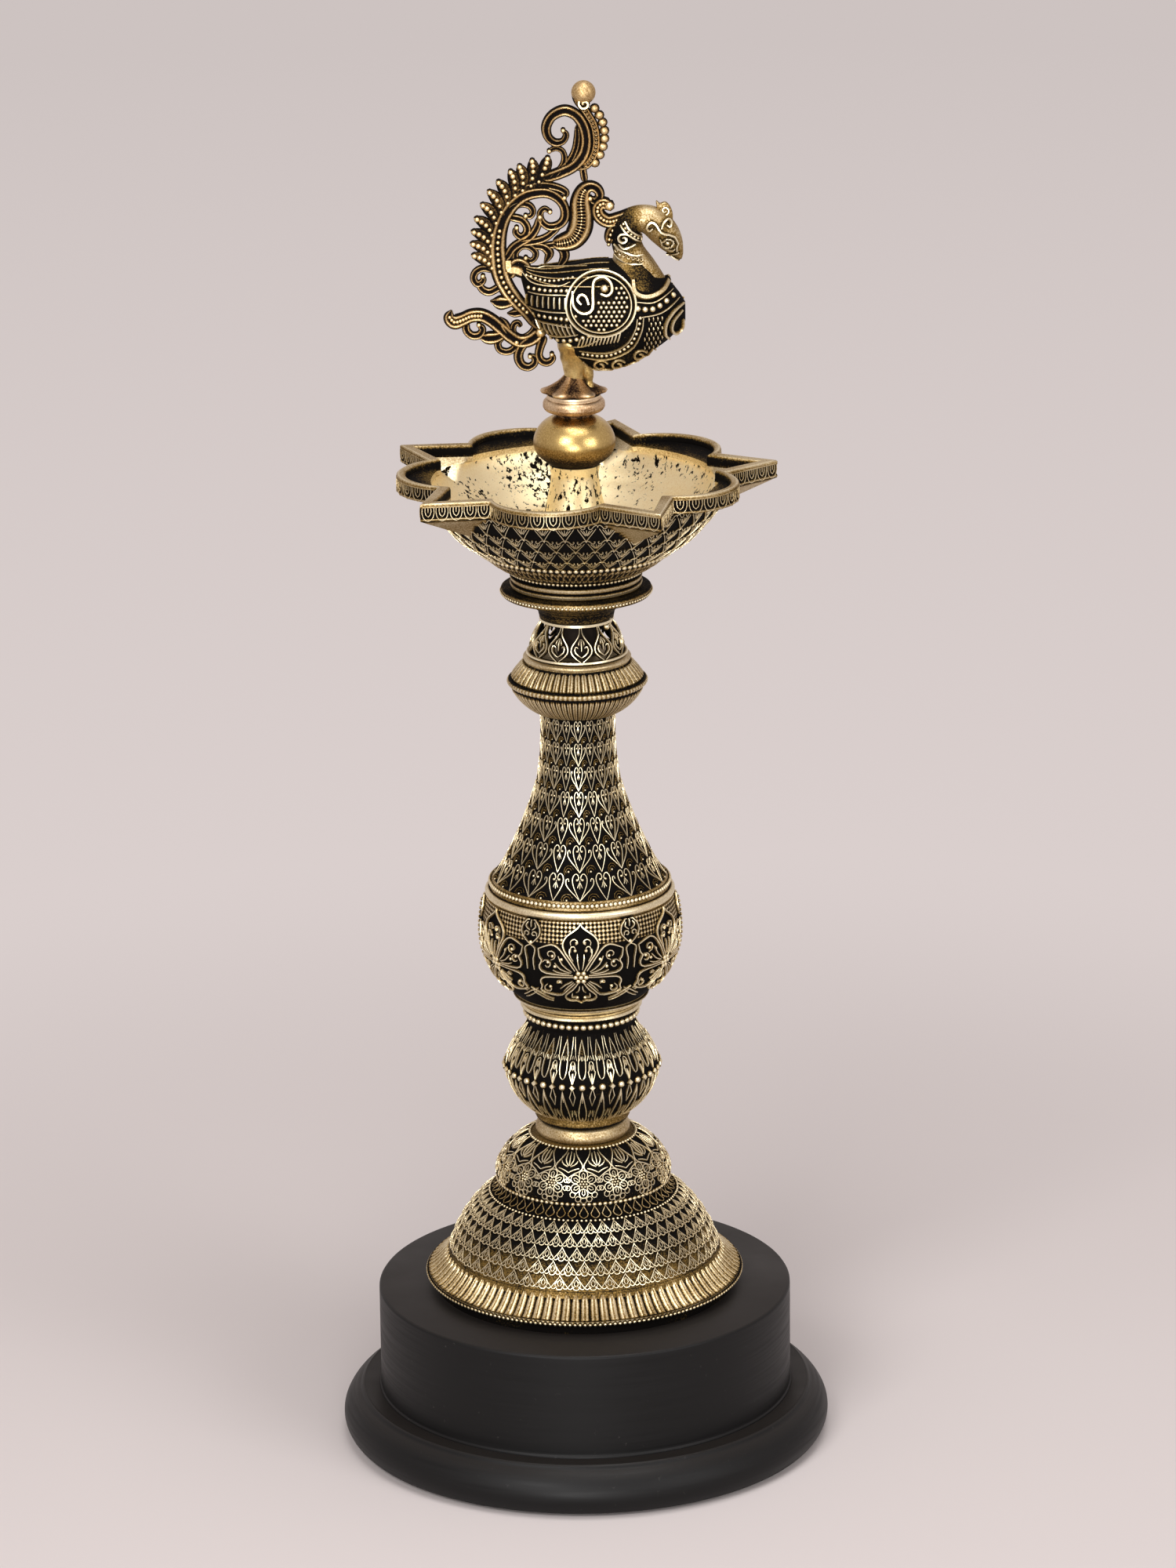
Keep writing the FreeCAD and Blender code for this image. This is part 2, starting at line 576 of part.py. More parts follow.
def bowl_foot():
    shape = turned(placed(bowl_foot_shares, bowl_foot_radius, bowl_foot_height, bowl_foot_base))
    return shape.cut(rod(rod_radius + running_clearance, bowl_foot_base - overrun,
                         bowl_base + overrun))


def bowl_stud():
    return rod(rod_radius, bowl_stud_bottom, bowl_base)


def rim_wire(tip, notch, half_angle, lobe, height):
    """Outline of the rim: pointed spouts with round lobes between them."""
    edges = []
    step = 360 / spout_count
    for place in range(spout_count):
        middle = spout_direction + place * step
        left = polar(notch, middle + half_angle, height)
        right = polar(notch, middle - half_angle, height)
        following = polar(notch, middle + step - half_angle, height)
        point = polar(tip, middle, height)
        edges.append(Part.LineSegment(right, point).toShape())
        edges.append(Part.LineSegment(point, left).toShape())
        edges.append(Part.Arc(left, polar(lobe, middle + step / 2, height), following).toShape())
    return Part.Wire(edges)


def wedge(points):
    """Solid between four corners."""
    faces = []
    for skipped in range(4):
        corners = [p for place, p in enumerate(points) if place != skipped]
        faces.append(Part.Face(Part.makePolygon(corners + corners[:1])))
    solid = Part.Solid(Part.Shell(faces))
    if solid.Volume < 0:
        solid.reverse()
    return solid


def keel(tip, notch, half_angle, root, top, bottom):
    """Keeled underside of a spout: flat on both sides of the line from its tip to its root."""
    points = [polar(tip, spout_direction, top), polar(notch, spout_direction + half_angle, top),
              polar(notch, spout_direction - half_angle, top), polar(root, spout_direction, bottom)]
    return spread(wedge(points), spout_count)


def oil_bowl():
    """Round bowl whose rim goes out into five keeled spouts and five round lobes."""
    shape = turned(placed(bowl_shares, bowl_radius, bowl_wall_height, bowl_base))
    outline = rim_wire(spout_tip_radius, spout_notch_radius, spout_half_angle, lobe_radius,
                       rim_base)
    shape = shape.fuse(Part.Face(outline).extrude(Vector(0, 0, rim_height)))
    outer_keels = keel(spout_tip_radius, spout_notch_radius, spout_half_angle, keel_radius,
                       rim_base, rim_base - keel_drop)
    shape = shape.fuse(outer_keels)
    hollow_height = bowl_wall_height - bowl_floor_thickness
    shape = shape.cut(turned(placed(bowl_shares, bowl_radius - bowl_wall, hollow_height,
                                    bowl_floor)))
    ledge = rim_base + rim_ledge
    shape = shape.cut(rod(bowl_radius - bowl_wall, rim_base, ledge + overrun))
    inner_tip = spout_tip_radius - inner_tip_walls_share * rim_wall
    inner_notch = spout_notch_radius - inner_notch_walls_share * rim_wall
    inner_angle = spout_half_angle * inner_angle_share
    inner = rim_wire(inner_tip, inner_notch, inner_angle, lobe_radius - rim_wall, ledge)
    shape = shape.cut(Part.Face(inner).extrude(Vector(0, 0, rim_height + overrun)))
    inner_keels = keel(inner_tip, inner_notch, inner_angle, keel_radius - keel_wall, ledge,
                       rim_base - keel_drop + keel_wall)
    for tool in inner_keels:
        shape = shape.cut(tool)
    return shape.removeSplitter()


def bowl_column():
    """Flared pillar on the bowl's floor, cupped at its top for the ball."""
    over_height = column_height + ball_half_height * column_cup_share
    shape = turned(placed(column_shares, column_foot_radius, over_height, bowl_floor))
    bottom = bowl_floor + column_height - finial_stud_engaged - loose_clearance
    bore = rod(finial_stud_radius + running_clearance, bottom, ball_centre)
    return shape.cut(ball_solid()).cut(bore)


def ball_solid():
    """Flattened ball: half an ellipse turned about the axis."""
    middle = Vector(0, 0, ball_centre)
    ellipse = Part.Ellipse(middle + Vector(ball_radius, 0, 0),
                           middle + Vector(0, 0, ball_half_height), middle)
    arc = Part.ArcOfEllipse(ellipse, -math.pi / 2, math.pi / 2).toShape()
    ends = [v.Point for v in arc.Vertexes]
    chord = Part.LineSegment(ends[-1], ends[0]).toShape()
    shape = Part.Face(Part.Wire([arc, chord])).revolve(CENTRE, UP, 360)
    above = rod(ball_radius + overrun, ball_flat, ball_flat + ball_half_height)
    return shape.cut(above)


def ball():
    bore = rod(finial_stud_radius + running_clearance, ball_centre - ball_radius,
               ball_centre + ball_radius)
    return ball_solid().cut(bore)


def finial_stud():
    bottom = bowl_floor + column_height - finial_stud_engaged
    return rod(finial_stud_radius, bottom, pedestal_base + finial_stud_grip)


def finial_ring():
    shape = turned(placed(finial_ring_shares, finial_ring_radius, finial_ring_height,
                          finial_ring_base))
    return shape.cut(rod(finial_stud_radius + running_clearance, finial_ring_base - overrun,
                         pedestal_base + overrun))


def petal_wire(tip, hollow, height):
    """Star of petal tips and the hollows between them."""
    corners = []
    for place in range(petal_count):
        angle = place * 360 / petal_count
        corners.append(polar(tip, angle, height))
        corners.append(polar(hollow, angle + 180 / petal_count, height))
    return Part.makePolygon(corners + corners[:1])


def peacock_pedestal():
    """Turned-down lotus cup, its petals ending in points."""
    brim = pedestal_base + pedestal_base_height
    middle = brim + pedestal_height * petal_waist_level_share
    base = rod(pedestal_hollow_radius, pedestal_base, brim)
    wires = [petal_wire(pedestal_radius, pedestal_hollow_radius, brim),
             petal_wire(pedestal_radius * petal_waist_share,
                        pedestal_hollow_radius * petal_waist_share, middle),
             petal_wire(pedestal_top_radius, pedestal_top_radius, pedestal_top)]
    shape = base.fuse(Part.makeLoft(wires, True, True))
    hole = rod(finial_stud_radius, pedestal_base - overrun, pedestal_base + finial_stud_grip)
    return shape.cut(hole)


def bird_point(along, up, across=0):
    """Point of the peacock from its shares of length and height."""
    return Vector(along * bird_length - bird_back, across, bird_base + up * bird_height)


def loop(middle, upward, half_height, half_width):
    """Closed oval about a point, in the plane of one direction and the Y axis."""
    points = []
    for place in range(oval_points):
        turn = 2 * math.pi * place / oval_points
        points.append(middle + upward * (half_height * math.cos(turn))
                      + ACROSS * (half_width * math.sin(turn)))
    curve = Part.BSplineCurve()
    curve.interpolate(Points=points, PeriodicFlag=True)
    return Part.Wire(curve.toShape())


def peacock_body():
    """Egg-shaped body from breast to tail root."""
    wires = []
    for along, top, bottom, width in body_shares:
        middle = bird_point(along, (top + bottom) / 2)
        half_height = (top - bottom) / 2 * bird_height
        wires.append(loop(middle, UP, half_height, width * body_half_width))
    return Part.makeLoft(wires, True, False).cut(neck_seat())


def neck_seat():
    """Round socket in the body that the neck's end stands in."""
    end = bird_point(head_shares[0][0], head_shares[0][1])
    heading = bird_point(head_shares[1][0], head_shares[1][1]) - end
    heading.normalize()
    radius = head_shares[0][2] * neck_half_width + loose_clearance
    depth = neck_seat_depth_share * neck_half_width + neck_end_dome
    return Part.makeCylinder(radius, depth, end - heading * neck_end_dome, heading)


def neck_and_head():
    """Arched neck that ends in the head and the lowered beak."""
    places = [bird_point(s[0], s[1]) for s in head_shares]
    wires = []
    for place, (along, up, deep, wide) in enumerate(head_shares):
        before = places[max(place - 1, 0)]
        after = places[min(place + 1, len(places) - 1)]
        heading = after - before
        heading.normalize()
        upward = Vector(-heading.z, 0, heading.x)
        wires.append(loop(places[place], upward, deep * neck_half_width, wide * neck_half_width))
    return Part.makeLoft(wires, True, False)


def peacock_legs():
    """Short legs, cast as one flared post under the belly."""
    wires = []
    for level, flare in leg_flare_shares:
        radius = leg_radius + (leg_top_radius - leg_radius) * flare
        wires.append(loop(Vector(0, 0, pedestal_top + level * leg_height), Vector(1, 0, 0),
                          radius, radius))
    return Part.makeLoft(wires, True, False)


def stroke(shares, width, thickness):
    """Flat bar that follows places in the peacock's plane, its width changing on the way."""
    centre = [bird_point(s[0], s[1]) for s in shares]
    curve = Part.BSplineCurve()
    curve.interpolate(centre)
    count = (len(shares) - 1) * stroke_steps
    first, last = curve.FirstParameter, curve.LastParameter
    left = []
    right = []
    for step in range(count + 1):
        parameter = first + (last - first) * step / count
        place = curve.value(parameter)
        heading = curve.tangent(parameter)[0]
        side = Vector(-heading.z, 0, heading.x)
        whole = step // stroke_steps
        part = step / stroke_steps - whole
        after = min(whole + 1, len(shares) - 1)
        share = shares[whole][2] * (1 - part) + shares[after][2] * part
        left.append(place + side * (share * width / 2))
        right.append(place - side * (share * width / 2))
    corners = left + right[::-1]
    corners = [c - ACROSS * (thickness / 2) for c in corners + corners[:1]]
    return Part.Face(Part.makePolygon(corners)).extrude(ACROSS * thickness)


def leaf(shares):
    """Pointed leaf from its tip to where it leaves the tail's rib."""
    tip = bird_point(shares[0], shares[1])
    root = bird_point(shares[2], shares[3])
    heading = root - tip
    side = Vector(-heading.z, 0, heading.x)
    side.normalize()
    side = side * (leaf_width / 2)
    belly = tip + heading * leaf_belly_share
    foot = side * leaf_root_share
    corners = [tip, belly + side, root + foot, root - foot, belly - side, tip]
    corners = [c - ACROSS * (tail_thickness / 2) for c in corners]
    return Part.Face(Part.makePolygon(corners)).extrude(ACROSS * tail_thickness)


def joined(shapes):
    """All the shapes as one."""
    whole = shapes[0]
    if len(shapes) > 1:
        whole = whole.multiFuse(shapes[1:])
    return whole.removeSplitter()


def tail_fan():
    strokes = [stroke(s, fan_stroke_width, tail_thickness) for s in fan_strokes_shares]
    return joined(strokes + [leaf(s) for s in leaf_shares])


def tail_lower_scroll():
    return joined([stroke(s, lower_stroke_width, tail_thickness) for s in lower_strokes_shares])


def tail_crest():
    """Upper scroll with its row of beads and the knob at the top."""
    shapes = [stroke(s, crest_stroke_width, crest_thickness) for s in crest_strokes_shares]
    for along, up in crest_bead_shares:
        shapes.append(Part.makeSphere(crest_bead_radius, bird_point(along, up)))
    knob = bird_point(knob_shares[0], knob_shares[1], -knob_thickness / 2)
    shapes.append(Part.makeCylinder(knob_radius, knob_thickness, knob, ACROSS))
    return joined(shapes)


def tail_plume():
    return joined([stroke(s, plume_stroke_width, plume_thickness) for s in plume_strokes_shares])


def nape_plume():
    return joined([stroke(s, nape_stroke_width, nape_thickness) for s in nape_strokes_shares])


def head_comb():
    corners = [bird_point(s[0], s[1], -comb_thickness / 2) for s in comb_shares]
    return Part.Face(Part.makePolygon(corners + corners[:1])).extrude(ACROSS * comb_thickness)


def stem():
    """The wooden base and everything that the tie rod clamps on it."""
    save(felt_pad(), "felt_pad")
    save(wood_flange(), "wood_flange")
    save(wood_drum(), "wood_drum")
    save(base_screws(), "base_screws")
    save(tie_rod(), "tie_rod")
    save(rod_washer(), "rod_washer")
    save(rod_nut(), "rod_nut")
    save(base_dome(), "base_dome")
    save(casting(tier_shares, tier_radius, tier_height, tier_base, 0, casting_roof),
         "flower_tier")
    save(casting(ring_shares, ring_radius, ring_height, ring_base, 0, 0), "stem_ring")
    save(casting(knop_shares, knop_radius, knop_height, knop_base, casting_wall, casting_roof),
         "lotus_knop")
    save(vase_foot(), "vase_foot")
    save(vase_bulb(), "vase_bulb")
    save(side_straps(), "side_straps")
    save(vase_belt(), "vase_belt")
    save(casting(neck_shares, neck_radius, neck_height, neck_base, 0, casting_roof), "vase_neck")
    save(fluted_collar(), "fluted_collar")
    save(stem_coupler(), "stem_coupler")
    save(basket(), "openwork_basket")


def bowl():
    """What unscrews with the oil bowl."""
    save(drip_flange(), "drip_flange")
    save(bowl_stud(), "bowl_stud")
    save(bowl_foot(), "bowl_foot")
    save(oil_bowl(), "oil_bowl")
    save(bowl_column(), "bowl_column")
    save(ball(), "column_ball")


def peacock():
    """What unscrews with the peacock, each piece trimmed where it is soldered to the last."""
    save(finial_ring(), "finial_ring")
    save(finial_stud(), "finial_stud")
    save(peacock_pedestal(), "peacock_pedestal")
    body = peacock_body()
    head = neck_and_head()
    fan = tail_fan().cut(body)
    lower = tail_lower_scroll().cut(body).cut(fan)
    crest = tail_crest().cut(fan)
    plume = tail_plume().cut(fan).cut(crest)
    nape = nape_plume().cut(head).cut(plume)
    save(peacock_legs().cut(body), "peacock_legs")
    save(body, "peacock_body")
    save(head, "peacock_neck_and_head")
    save(head_comb().cut(head), "peacock_comb")
    save(nape, "nape_plume")
    save(fan, "tail_fan")
    save(lower, "tail_lower_scroll")
    save(crest, "tail_crest")
    save(plume, "tail_plume")


stem()
bowl()
peacock()
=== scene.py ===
import math

import bpy
import numpy as np
from mathutils import Matrix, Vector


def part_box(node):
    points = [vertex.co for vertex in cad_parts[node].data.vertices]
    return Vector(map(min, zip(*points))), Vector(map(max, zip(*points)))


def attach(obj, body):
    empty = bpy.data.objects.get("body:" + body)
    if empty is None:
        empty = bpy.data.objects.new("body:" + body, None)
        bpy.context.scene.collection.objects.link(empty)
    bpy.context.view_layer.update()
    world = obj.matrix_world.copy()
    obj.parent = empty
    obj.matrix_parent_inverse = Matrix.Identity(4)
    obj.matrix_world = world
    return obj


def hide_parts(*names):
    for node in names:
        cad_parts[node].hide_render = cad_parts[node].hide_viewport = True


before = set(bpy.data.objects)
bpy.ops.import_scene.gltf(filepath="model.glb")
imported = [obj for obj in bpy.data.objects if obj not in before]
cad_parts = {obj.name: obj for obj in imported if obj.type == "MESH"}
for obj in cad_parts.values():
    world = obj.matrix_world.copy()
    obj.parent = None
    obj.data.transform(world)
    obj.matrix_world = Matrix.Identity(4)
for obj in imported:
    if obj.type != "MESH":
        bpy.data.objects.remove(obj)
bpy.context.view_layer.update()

mm = 0.001


# Camera: the photograph's view through a long lens, 1.9 m in front of the lamp and looking 17
# degrees down, turned a little about its own line of sight because the lamp leans in the picture.
camera_place = (0, -1.874, 0.801)
camera_pitch = 17.34
camera_roll = 0.7
camera_lens = 144.1
camera_shift = 0.006
camera_data = bpy.data.cameras.new("camera")
camera_data.lens = camera_lens
camera_data.shift_x = camera_shift
camera = bpy.data.objects.new("camera", camera_data)
camera.matrix_world = (Matrix.Translation(camera_place)
                       @ Matrix.Rotation(math.radians(90 - camera_pitch), 4, "X")
                       @ Matrix.Rotation(math.radians(-camera_roll), 4, "Z"))
bpy.context.scene.collection.objects.link(camera)
bpy.context.scene.camera = camera
bpy.context.scene.view_settings.view_transform = "Standard"


# Studio: a wide pale floor that fills the picture, a pale surround for the camera and for what
# the metal mirrors, and four large soft lamps, one of them low in front.
floor_half_width = 9.0
floor_colours = ("#DAD1CF", "#D6CCCA")
near_colour = "#DACFCD"
surround_colour = "#CDC3C1"
surround_light = 0.42
lamps = (("key_lamp", (-0.75, -1.5, 1.35), 0.8, 18), ("fill_lamp", (1.3, -1.15, 0.95), 0.9, 10),
         ("top_lamp", (0.15, -0.35, 1.75), 0.9, 12), ("front_lamp", (-0.1, -1.65, 0.33), 0.6, 14))
lamp_aim = (0, 0, 0.22)


def linear(colour):
    """sRGB hex to linear: c / 12.92 up to 0.04045, else ((c + 0.055) / 1.055) to the power 2.4."""
    shares = [int(colour[k:k + 2], 16) / 255 for k in (1, 3, 5)]
    return [c / 12.92 if c <= 0.04045 else ((c + 0.055) / 1.055) ** 2.4 for c in shares] + [1]


def add_node(tree, kind, sockets, output=0, **settings):
    """Add a node, or take one that is there, give its inputs, by name or number, a value or
    another node's output, and return one of its own outputs."""
    node = kind if isinstance(kind, bpy.types.Node) else tree.nodes.new("ShaderNode" + kind)
    for key, value in settings.items():
        setattr(node, key, value)
    for key, value in sockets.items():
        if isinstance(value, bpy.types.NodeSocket):
            tree.links.new(value, node.inputs[key])
        else:
            node.inputs[key].default_value = value
    return node.outputs[output] if node.outputs else None


def new_material(name):
    """An empty material's node tree with its Principled shader, and the material."""
    material = bpy.data.materials.new(name)
    material.use_nodes = True
    return material, material.node_tree, material.node_tree.nodes["Principled BSDF"]


def seen(tree):
    """1 for the camera's rays, mirrored and transmitted ones as well, and 0 for other light."""
    rays = [add_node(tree, "LightPath", {}, "Is %s Ray" % kind)
            for kind in ("Camera", "Glossy", "Transmission")]
    direct = add_node(tree, "Math", {0: rays[0], 1: rays[1]}, operation="MAXIMUM")
    return add_node(tree, "Math", {0: direct, 1: rays[2]}, operation="MAXIMUM")


world = bpy.data.worlds.new("pale_surround")
world.use_nodes = True
bpy.context.scene.world = world
tree = world.node_tree
plain, shown = (add_node(tree, "Background", {"Color": linear(surround_colour), "Strength": strength})
                for strength in (surround_light, 1))
add_node(tree, tree.nodes["World Output"],
         {"Surface": add_node(tree, "MixShader", {0: seen(tree), 1: plain, 2: shown})})

for lamp_name, place, size, power in lamps:
    lamp = bpy.data.lights.new(lamp_name, "AREA")
    lamp.size = size
    lamp.energy = power
    lamp_object = bpy.data.objects.new(lamp_name, lamp)
    lamp_object.location = place
    away = np.subtract(place, lamp_aim)
    lamp_object.rotation_euler = (math.atan2(math.hypot(away[0], away[1]), away[2]), 0,
                                  math.atan2(away[1], away[0]) + math.pi / 2)
    bpy.context.scene.collection.objects.link(lamp_object)

# The floor is a coated paper sweep, even and matt. Round the lamp it takes light and shadow, and
# further out the camera and the metal see it fade into the surround.
floor_fade = (0.16, 0.6)
far_fade = (0.6, 2.4)
paper, tree, shader = new_material("matt_paper")
spot = add_node(tree, "TexCoord", {}, "Object")
grain = add_node(tree, "TexNoise", {"Vector": spot, "Scale": 3})
tone = add_node(tree, "Mix", {0: grain, 6: linear(floor_colours[0]), 7: linear(floor_colours[1])}, 2,
                data_type="RGBA")
add_node(tree, shader, {"Base Color": tone, "Roughness": 0.9})
from_lamp = add_node(tree, "VectorMath", {0: spot}, "Value", operation="LENGTH")
far = add_node(tree, "MapRange", {0: from_lamp, 1: floor_fade[0], 2: floor_fade[1]},
               interpolation_type="SMOOTHSTEP")
distant = add_node(tree, "MapRange", {0: from_lamp, 1: far_fade[0], 2: far_fade[1]})
backdrop = add_node(tree, "Mix", {0: distant, 6: linear(near_colour), 7: linear(surround_colour)}, 2,
                    data_type="RGBA")
share = add_node(tree, "Math", {0: seen(tree), 1: far}, operation="MULTIPLY")
faded = add_node(tree, "MixShader", {0: share, 1: shader.outputs[0],
                                     2: add_node(tree, "Emission", {"Color": backdrop})})
add_node(tree, tree.nodes["Material Output"], {"Surface": faded})
floor_mesh = bpy.data.meshes.new("floor")
floor_mesh.from_pydata([(x * floor_half_width, y * floor_half_width, 0)
                        for x, y in ((-1, -1), (1, -1), (1, 1), (-1, 1))], [], [(0, 1, 2, 3)])
floor_mesh.materials.append(paper)
floor = bpy.data.objects.new("floor", floor_mesh)
bpy.context.scene.collection.objects.link(floor)


# Wooden base: two turned pieces of hardwood, a round-edged moulding and a drum on it, filled,
# lacquered satin black and screwed together from below.
base_columns = 192
flange_shares = ((0.925, 0.0), (0.974, 0.01, 0.34), (0.99, 0.6, 0.14), (0.935, 0.92, -0.12),
                 (0.925, 0.985, 0.5), (0.91, 1))
sharp_angle = math.radians(40)
drum_edge = 1.4 * mm
drum_foot_bead = 0.5 * mm


def outline(shares, radius, height, base):
    """Profile from corners given as shares of radius and height. Between two corners it is a
    straight line or an arc whose rise is bend times half the chord: with half angle h = 2 atan
    (bend), its point at t is the chord's middle plus chord times sin(h t) / (2 sin h) plus the
    outward side times (cos(h t) - cos h) / (2 sin h)."""
    rows = []
    corners = [(s[0] * radius, base + s[1] * height, s[2] if len(s) > 2 else 0) for s in shares]
    for a, b in zip(corners, corners[1:]):
        chord = np.subtract(b[:2], a[:2])
        side = np.array((chord[1], -chord[0]))
        half = 2 * math.atan(a[2])
        count = max(2, int(np.hypot(*chord) / (0.5 * mm)))
        t = np.linspace(-1, 1, count, endpoint=False)[:, None]
        middle = (np.array(a[:2]) + b[:2]) / 2
        if abs(half) > 0.001:
            bow = 2 * math.sin(half)
            row = middle + chord * np.sin(half * t) / bow + side * (np.cos(half * t)
                                                                     - math.cos(half)) / bow
        else:
            row = middle + chord * t / 2
        rows.append(row)
    rows.append(np.array([corners[-1][:2]]))
    return np.concatenate(rows)


def turned_surface(profile):
    """The surface of a profile turned about Z: place(turn, level) gives the point at an angle
    and a length up the profile, (r cos, r sin, z), and the unit normal (dz, -dr) turned alike."""
    steps = np.hypot(*np.diff(profile, axis=0).T)
    along = np.concatenate([[0], np.cumsum(steps)])
    slope = np.gradient(profile, along, axis=0)

    def place(turn, level):
        level = np.broadcast_to(level, np.shape(turn))
        r, z = (np.interp(level, along, profile[:, k]) for k in (0, 1))
        dr, dz = (np.interp(level, along, slope[:, k]) for k in (0, 1))
        size = np.hypot(dr, dz)
        point = np.stack([r * np.cos(turn), r * np.sin(turn), z], -1)
        normal = np.stack([dz / size * np.cos(turn), dz / size * np.sin(turn), -dr / size], -1)
        return point, normal

    place.length = along[-1]
    place.radius = lambda level: np.interp(level, along, profile[:, 0])
    place.level_at = lambda share: np.interp(
        profile[0, 1] + share * (profile[-1, 1] - profile[0, 1]), profile[:, 1], along)
    return place


def node_surface(shares, node, sink=0):
    """The outline's turned surface at a CAD node's own size, its widest point on the node's box,
    and then in towards the axis by sink, so that relief on it reaches the box and no further."""
    low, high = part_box(node)
    radius = (high[0] - low[0]) / 2
    profile = outline(shares, radius, high[2] - low[2], low[2])
    profile[:, 0] *= radius / profile[:, 0].max()
    return turned_surface(profile - (sink, 0))


def shell(rings, worn):
    """Closed skin through rings of points, each counter-clockwise about the way they follow one
    another: four-sided faces between them, and a fan from the middle of the first and last."""
    rows, columns = rings.shape[:2]
    first = np.arange(rows - 1)[:, None] * columns
    k = np.arange(columns)
    after = (k + 1) % columns
    quads = np.stack(np.broadcast_arrays(first + k, first + after, first + after + columns,
                                         first + k + columns), -1).reshape(-1, 4)
    last = (rows - 1) * columns
    poles = np.stack([rings[0].mean(0), rings[-1].mean(0)])
    fans = np.concatenate([np.stack([after, k, k * 0 + rows * columns], -1),
                           np.stack([k + last, after + last, k * 0 + rows * columns + 1], -1)])
    return (np.concatenate([rings.reshape(-1, 3), poles]), [quads, fans],
            np.concatenate([np.ravel(worn), [worn[0].mean(), worn[-1].mean()]]))


def revolve(place, columns, rows, relief=None):
    """Shell of a turned surface at some levels, or at a number of even ones, pushed out by
    relief(turn, level), which gives a lift in metres and how worn it is from 0 to 1."""
    levels = np.linspace(0, place.length, rows) if np.isscalar(rows) else rows
    turn, level = np.meshgrid(np.arange(columns) * 2 * np.pi / columns, levels)
    point, normal = place(turn, level)
    lift, worn = relief(turn, level) if relief else (0 * turn, 0 * turn)
    return shell(point + normal * lift[..., None], worn)


def make_piece(name, node, parts, material, body="stem"):
    """One mesh object of closed shells, each given as points, faces and worn values, put in the
    assembly with its body, its finish and the CAD node that it stands for."""
    points = np.concatenate([part[0] for part in parts])
    worn = np.concatenate([part[2] for part in parts])
    starts = np.cumsum([0] + [len(part[0]) for part in parts])
    faces = [group + start for part, start in zip(parts, starts) for group in part[1]]
    sizes = np.concatenate([np.full(len(group), group.shape[1]) for group in faces])
    loops = np.concatenate([group.ravel() for group in faces])
    mesh = bpy.data.meshes.new(name)
    mesh.vertices.add(len(points))
    mesh.vertices.foreach_set("co", points.astype(np.float32).ravel())
    mesh.loops.add(len(loops))
    mesh.loops.foreach_set("vertex_index", loops.astype(np.int32))
    mesh.polygons.add(len(sizes))
    mesh.polygons.foreach_set("loop_start", (np.cumsum(sizes) - sizes).astype(np.int32))
    mesh.update(calc_edges=True)
    mesh.validate()
    wear = mesh.attributes.new("worn", "FLOAT", "POINT")
    wear.data.foreach_set("value", worn.astype(np.float32))
    mesh.polygons.foreach_set("use_smooth", np.ones(len(mesh.polygons), bool))
    mesh.set_sharp_from_angle(angle=sharp_angle)
    mesh.materials.append(material)
    piece = bpy.data.objects.new(name, mesh)
    bpy.context.scene.collection.objects.link(piece)
    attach(piece, body)
    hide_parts(node)
    return piece


# Satin black lacquer on close-grained hardwood: nearly black, a soft sheen, faint turning lines
# round the axis, a few pale rubbed specks, and a painted brown grey reflection where it faces up
lacquer, tree, shader = new_material("satin_black_lacquer")
spot = add_node(tree, "TexCoord", {}, "Object")
round_axis = add_node(tree, "Mapping", {0: spot, 3: (1, 1, 30)})
turning = add_node(tree, "TexNoise", {"Vector": round_axis, "Scale": 40, "Detail": 4})
dust = add_node(tree, "TexNoise", {"Vector": spot, "Scale": 420, "Detail": 5, "Roughness": 0.7})
specks = add_node(tree, "MapRange", {0: dust, 1: 0.66, 2: 0.8, 3: 0, 4: 0.35})
upward = add_node(tree, "SeparateXYZ", {0: add_node(tree, "TexCoord", {}, "Normal")}, 2)
# Faces that look up get a brown grey tone: a painted reflection.
painted_top_reflection = add_node(tree, "MapRange", {0: upward, 1: 0.6, 2: 1, 3: 0, 4: 0.8})
tone = linear("#0A0A0A")
for share, colour in ((turning, "#121111"), (specks, "#6E6A66"), (painted_top_reflection, "#24201D")):
    tone = add_node(tree, "Mix", {0: share, 6: tone, 7: linear(colour)}, 2, data_type="RGBA")
sheen = add_node(tree, "MapRange", {0: turning, 1: 0.3, 2: 0.7, 3: 0.42, 4: 0.54})
bump = add_node(tree, "Bump", {"Height": dust, "Strength": 0.12, "Distance": 0.1 * mm})
add_node(tree, shader, {"Base Color": tone, "Specular IOR Level": 0.2, "Roughness": sheen,
                        "Normal": bump})

place = node_surface(flange_shares, "wood_flange")
make_piece("base_moulding", "wood_flange", [revolve(place, base_columns, 70)], lacquer)

low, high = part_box("wood_drum")
drum_radius, drum_height = high[0], high[2] - low[2]
foot_share, edge_share = drum_foot_bead / drum_radius, drum_edge / drum_height
drum_shares = ((1, 0), (1, edge_share * 0.4, -0.5), (1 - foot_share, edge_share * 0.9),
               (1 - foot_share, 1 - edge_share, 0.414), (1 - drum_edge / drum_radius, 1))
place = turned_surface(outline(drum_shares, drum_radius, drum_height, low[2]))
rows = np.unique(np.concatenate([np.linspace(0, place.length, 30),
                                 np.linspace(place.length - 3 * drum_edge, place.length, 14),
                                 np.linspace(0, 3 * drum_edge, 12)]))
make_piece("base_drum", "wood_drum", [revolve(place, base_columns, rows)], lacquer)
